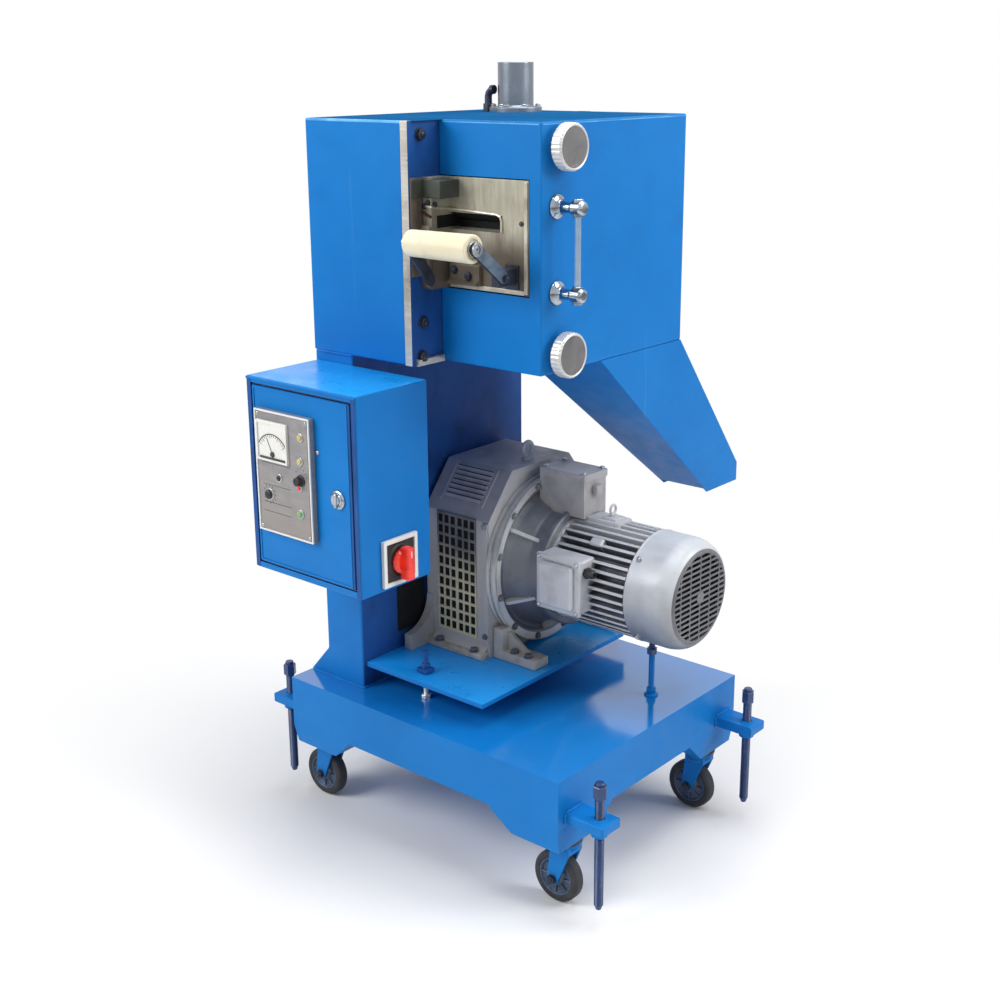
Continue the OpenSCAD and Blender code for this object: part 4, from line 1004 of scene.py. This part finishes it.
lo, hi, _ = B("motor_body")
cowl_r = (whi.z - wlo.z) / 2
fin_r = cowl_r - 1.5
core_r = fin_r - 20
body = Form().lathe([(lo.x, 0), (lo.x, fin_r), (lo.x + 9, fin_r), (lo.x + 11, core_r), (hi.x - 12, core_r),
    (hi.x - 10, fin_r - 4), (hi.x - 1, fin_r - 4), (hi.x - 1, 0)], "x", shaft, 96, 2)
for t in turns(FINS, 0.5):
    body.prism([(-3.6, core_r - 2), (3.6, core_r - 2), (3, fin_r), (-3, fin_r)], "x", lo.x + 8, hi.x - 8, 0.6, 1,
        about("X", shaft, t))
for x0, x1, half, pad_z in ((16, 112, 24, hi.z - 4), (66, 100, 17, hi.z)):
    body.brick((lo.x + x0, my - half, mz + core_r), (lo.x + x1, my + half, pad_z), 3)
for degrees, x0, x1 in ((38, 78, 108), (60, 84, 100)):
    body.brick((lo.x + x0, -9, core_r - 2), (lo.x + x1, 9, fin_r + 2), 4, 3, about("X", shaft, radians(degrees)))
# the fin grooves and flanks are darker as painted shade
piece("motor_shell", body, "motor_grey", replaces="motor_body",
    second=("groove_painted_shade", lambda n, c: off_shaft(c) < core_r + 13 and abs(n.x) < 0.5 and c.z < mz + core_r))
lo, hi, _ = B("motor_terminal_box")
shell = Form().brick((lo.x, lo.y + 20, lo.z + 2), (hi.x - 2, hi.y, hi.z - 2), 5, 3)
shell.brick((lo.x - 1, lo.y + 12, lo.z - 1), (hi.x + 1, lo.y + 22, hi.z + 1), 3.5, 3)
shell.prism([(lo.z + 12, lo.x + 12), (hi.z - 12, lo.x + 12), (hi.z - 12, hi.x - 12), (lo.z + 12, hi.x - 12)], "y",
    lo.y, lo.y + 14, 5, 3)
piece("terminal_box_shell", shell, "motor_grey", replaces="motor_terminal_box")
piece("terminal_box_gasket", Form().brick((lo.x + 1.5, lo.y + 21.2, lo.z + 0.6),
    (hi.x - 1.5, lo.y + 23.4, hi.z - 0.6), 0.5, 1), "black_plastic")
screws = Form()
for x, z in product((lo.x + 6.5, hi.x - 6.5), (lo.z + 6.5, hi.z - 6.5)):
    screws.lathe([(12.4, 4.4), (9.6, 4.2), (8.6, 2.8), (8.6, 0)], "y", (x, lo.y, z), 20, 0.7)
piece("terminal_box_screws", screws, "zinc_steel")
lo, hi, c = B("cable_gland")
gland = Form().hexagon("x", (lo.x, c.y, c.z), 11.5, -1, 7)
gland.lathe([(lo.x + 6, 0), (lo.x + 6, 9), (hi.x - 6, 9), (hi.x, 6.5), (hi.x, 4), (hi.x - 5, 4), (hi.x - 5, 0)], "x",
    (0, c.y, c.z), 48, 1, knurl(0.05, 16, 8.5))
piece("gland_nut", gland, "black_plastic", replaces="cable_gland")

# fan cowl with an end grille of parallel slots
BAR_PITCH, BAR_HALF = 10.8, 2.2

x0, x1, cr = wlo.x, whi.x, cowl_r
end = (x1, my, mz)
cowl = Form().lathe([(x0, cr - 3), (x0, cr), (x0 + 3, cr), (x0 + 5, cr - 1), (x1 - 34, cr - 1), (x1 - 16, cr - 6),
    (x1 - 6, cr - 13), (x1 - 0.6, cr - 23), (x1 - 0.5, cr - 26), (x1 - 2.5, cr - 26)], "x", shaft, 128, 8, n=5)
cowl.lathe([(x0 + 1, cr - 3.2), (x1 - 35, cr - 3.6), (x1 - 17, cr - 9), (x1 - 7, cr - 16), (x1 - 3, cr - 25.5)], "x",
    shaft, 96)
# the cowl darkens towards the bottom as painted shade
piece("fan_cowl_shell", cowl, "cowl_grey_painted_shade_below", replaces="fan_cowl",
    second=("cowl_end", lambda n, c: c.x > whi.x - 4 and abs(n.x) > 0.4))
grid = Form()
g_r = cr - 25
for k in range(-8, 9):
    z = k * BAR_PITCH
    if abs(z) < g_r:
        half = sqrt(g_r * g_r - z * z) + 1
        grid.brick((x1 - 2.8, my - half, mz + z - BAR_HALF), (x1 - 0.6, my + half, mz + z + BAR_HALF), 0.5, 1)
for y in (-66, -33, 0, 33, 66):
    half = sqrt(g_r * g_r - y * y)
    grid.brick((x1 - 2.6, my + y - 1.8, mz - half), (x1 - 0.8, my + y + 1.8, mz + half), 0.5, 1)
grid.lathe([(-3, 0), (-0.4, 12), (-0.2, 12), (0, 10), (0, 0)], "x", end, 40, 0.5)
piece("cowl_grille", grid, "cowl_end")
fan = Form().drum("x", end, cr - 14, -17, -16, 64)
for t in turns(9):
    fan.brick((-4, -1.5, 18), (5, 1.5, cr - 30), 0.6, 1, about("X", (x1 - 14, my, mz), t) @ Matrix.Rotation(0.5, 4,
        "Z"))
piece("fan_blades", fan, "black_and_painted_shade")
cowl_screws = Form()
for t in turns(4, 0.5):
    cowl_screws.take(Form().bolt("z", (0, 0, cr - 1), 6).bm, about("X", (x0 + 14, my, mz), t))
piece("cowl_screws", cowl_screws, "zinc_steel")

# the lifting eyes keep their CAD shape and take their finish here
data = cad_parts["lifting_eyes"].data
data.materials.clear()
data.materials.append(M["motor_grey"])

# ---------------------------------------------------------------- floor, light, camera

WHITE = (1, 1, 1, 1)

# a pale floor that keeps the shadow near the machine and turns plain white further out
mat = bpy.data.materials.new("floor")
tree = emptied(mat)
far = node(tree, "ShaderNodeVectorMath", None, {0: node(tree, "ShaderNodeTexCoord").outputs["Object"]},
    "LENGTH").outputs["Value"]
ramp = node(tree, "ShaderNodeMapRange", {"From Min": 0.55, "From Max": 1.7}, {"Value": far})
ramp.interpolation_type = "SMOOTHSTEP"
both = node(tree, "ShaderNodeMath", None, {0: ramp.outputs[0], 1:
    node(tree, "ShaderNodeLightPath").outputs["Is Camera Ray"]}, "MULTIPLY")
mix = node(tree, "ShaderNodeMixShader", None, {0: both.outputs[0], 1:
    node(tree, "ShaderNodeBsdfDiffuse", {"Color": (0.9, 0.9, 0.9, 1)}).outputs[0], 2:
    node(tree, "ShaderNodeEmission", {"Color": WHITE, "Strength": 1.0}).outputs[0]})
node(tree, "ShaderNodeOutputMaterial", None, {0: mix.outputs[0]})
disc = bmesh.new()
bmesh.ops.create_circle(disc, cap_ends=True, radius=14, segments=96)
me = bpy.data.meshes.new("floor")
disc.to_mesh(me)
disc.free()
me.materials.append(mat)
link("floor", me)

# a dim warm world for the light, a white one for what the camera and mirrors see
scene.world = bpy.data.worlds.new("studio")
tree = emptied(scene.world)
rays = node(tree, "ShaderNodeLightPath")
seen = rays.outputs["Is Camera Ray"]
for other in ("Is Glossy Ray", "Is Transmission Ray"):
    seen = node(tree, "ShaderNodeMath", None, {0: seen, 1: rays.outputs[other]}, "MAXIMUM").outputs[0]
mix = node(tree, "ShaderNodeMixShader", None, {0: seen, 1: node(tree, "ShaderNodeBackground",
    {"Color": (1.0, 0.98, 0.96, 1), "Strength": 0.34}).outputs[0], 2:
    node(tree, "ShaderNodeBackground", {"Color": WHITE, "Strength": 1.0}).outputs[0]})
node(tree, "ShaderNodeOutputWorld", None, {0: mix.outputs[0]})

for name, place, aim, size, power in (("key_front", (-1.7, -3.1, 2.7), (0, 0, 0.8), (2.2, 1.6), 96),
        ("side_right", (3.0, 1.5, 2.7), (0, 0, 0.8), (1.8, 1.8), 74),
        ("overhead", (0.4, 0.2, 3.8), (0, 0, 0), (2.4, 2.4), 85)):
    light = bpy.data.lights.new(name, "AREA")
    light.shape = "RECTANGLE"
    light.size, light.size_y = size
    light.energy = power
    ob = link(name, light)
    ob.location = place
    ob.rotation_euler = (Vector(aim) - Vector(place)).to_track_quat("-Z", "Y").to_euler()

# the camera of the photograph, fitted on the machine's straight edges
TURN, TILT, ROLL = (radians(v) for v in (40.54, 15.83, -0.41))
CAMERA_AT = (1.7284, -2.0918, 1.5145)

back = V(sin(TURN) * cos(TILT), -cos(TURN) * cos(TILT), sin(TILT))
right = (-back).cross(V(0, 0, 1)).normalized()
up = right.cross(-back)
x_axis = right * cos(ROLL) + up * sin(ROLL)
y_axis = up * cos(ROLL) - right * sin(ROLL)
lens = bpy.data.cameras.new("photo")
lens.sensor_width = 36
lens.lens = 50.91
lens.shift_y = -0.0414
lens.clip_end = 100
cam = link("photo", lens)
cam.matrix_world = Matrix.Translation(CAMERA_AT) @ Matrix((x_axis, y_axis, back)).transposed().to_4x4()
scene.camera = cam
scene.view_settings.view_transform = "Standard"

bpy.context.view_layer.update()
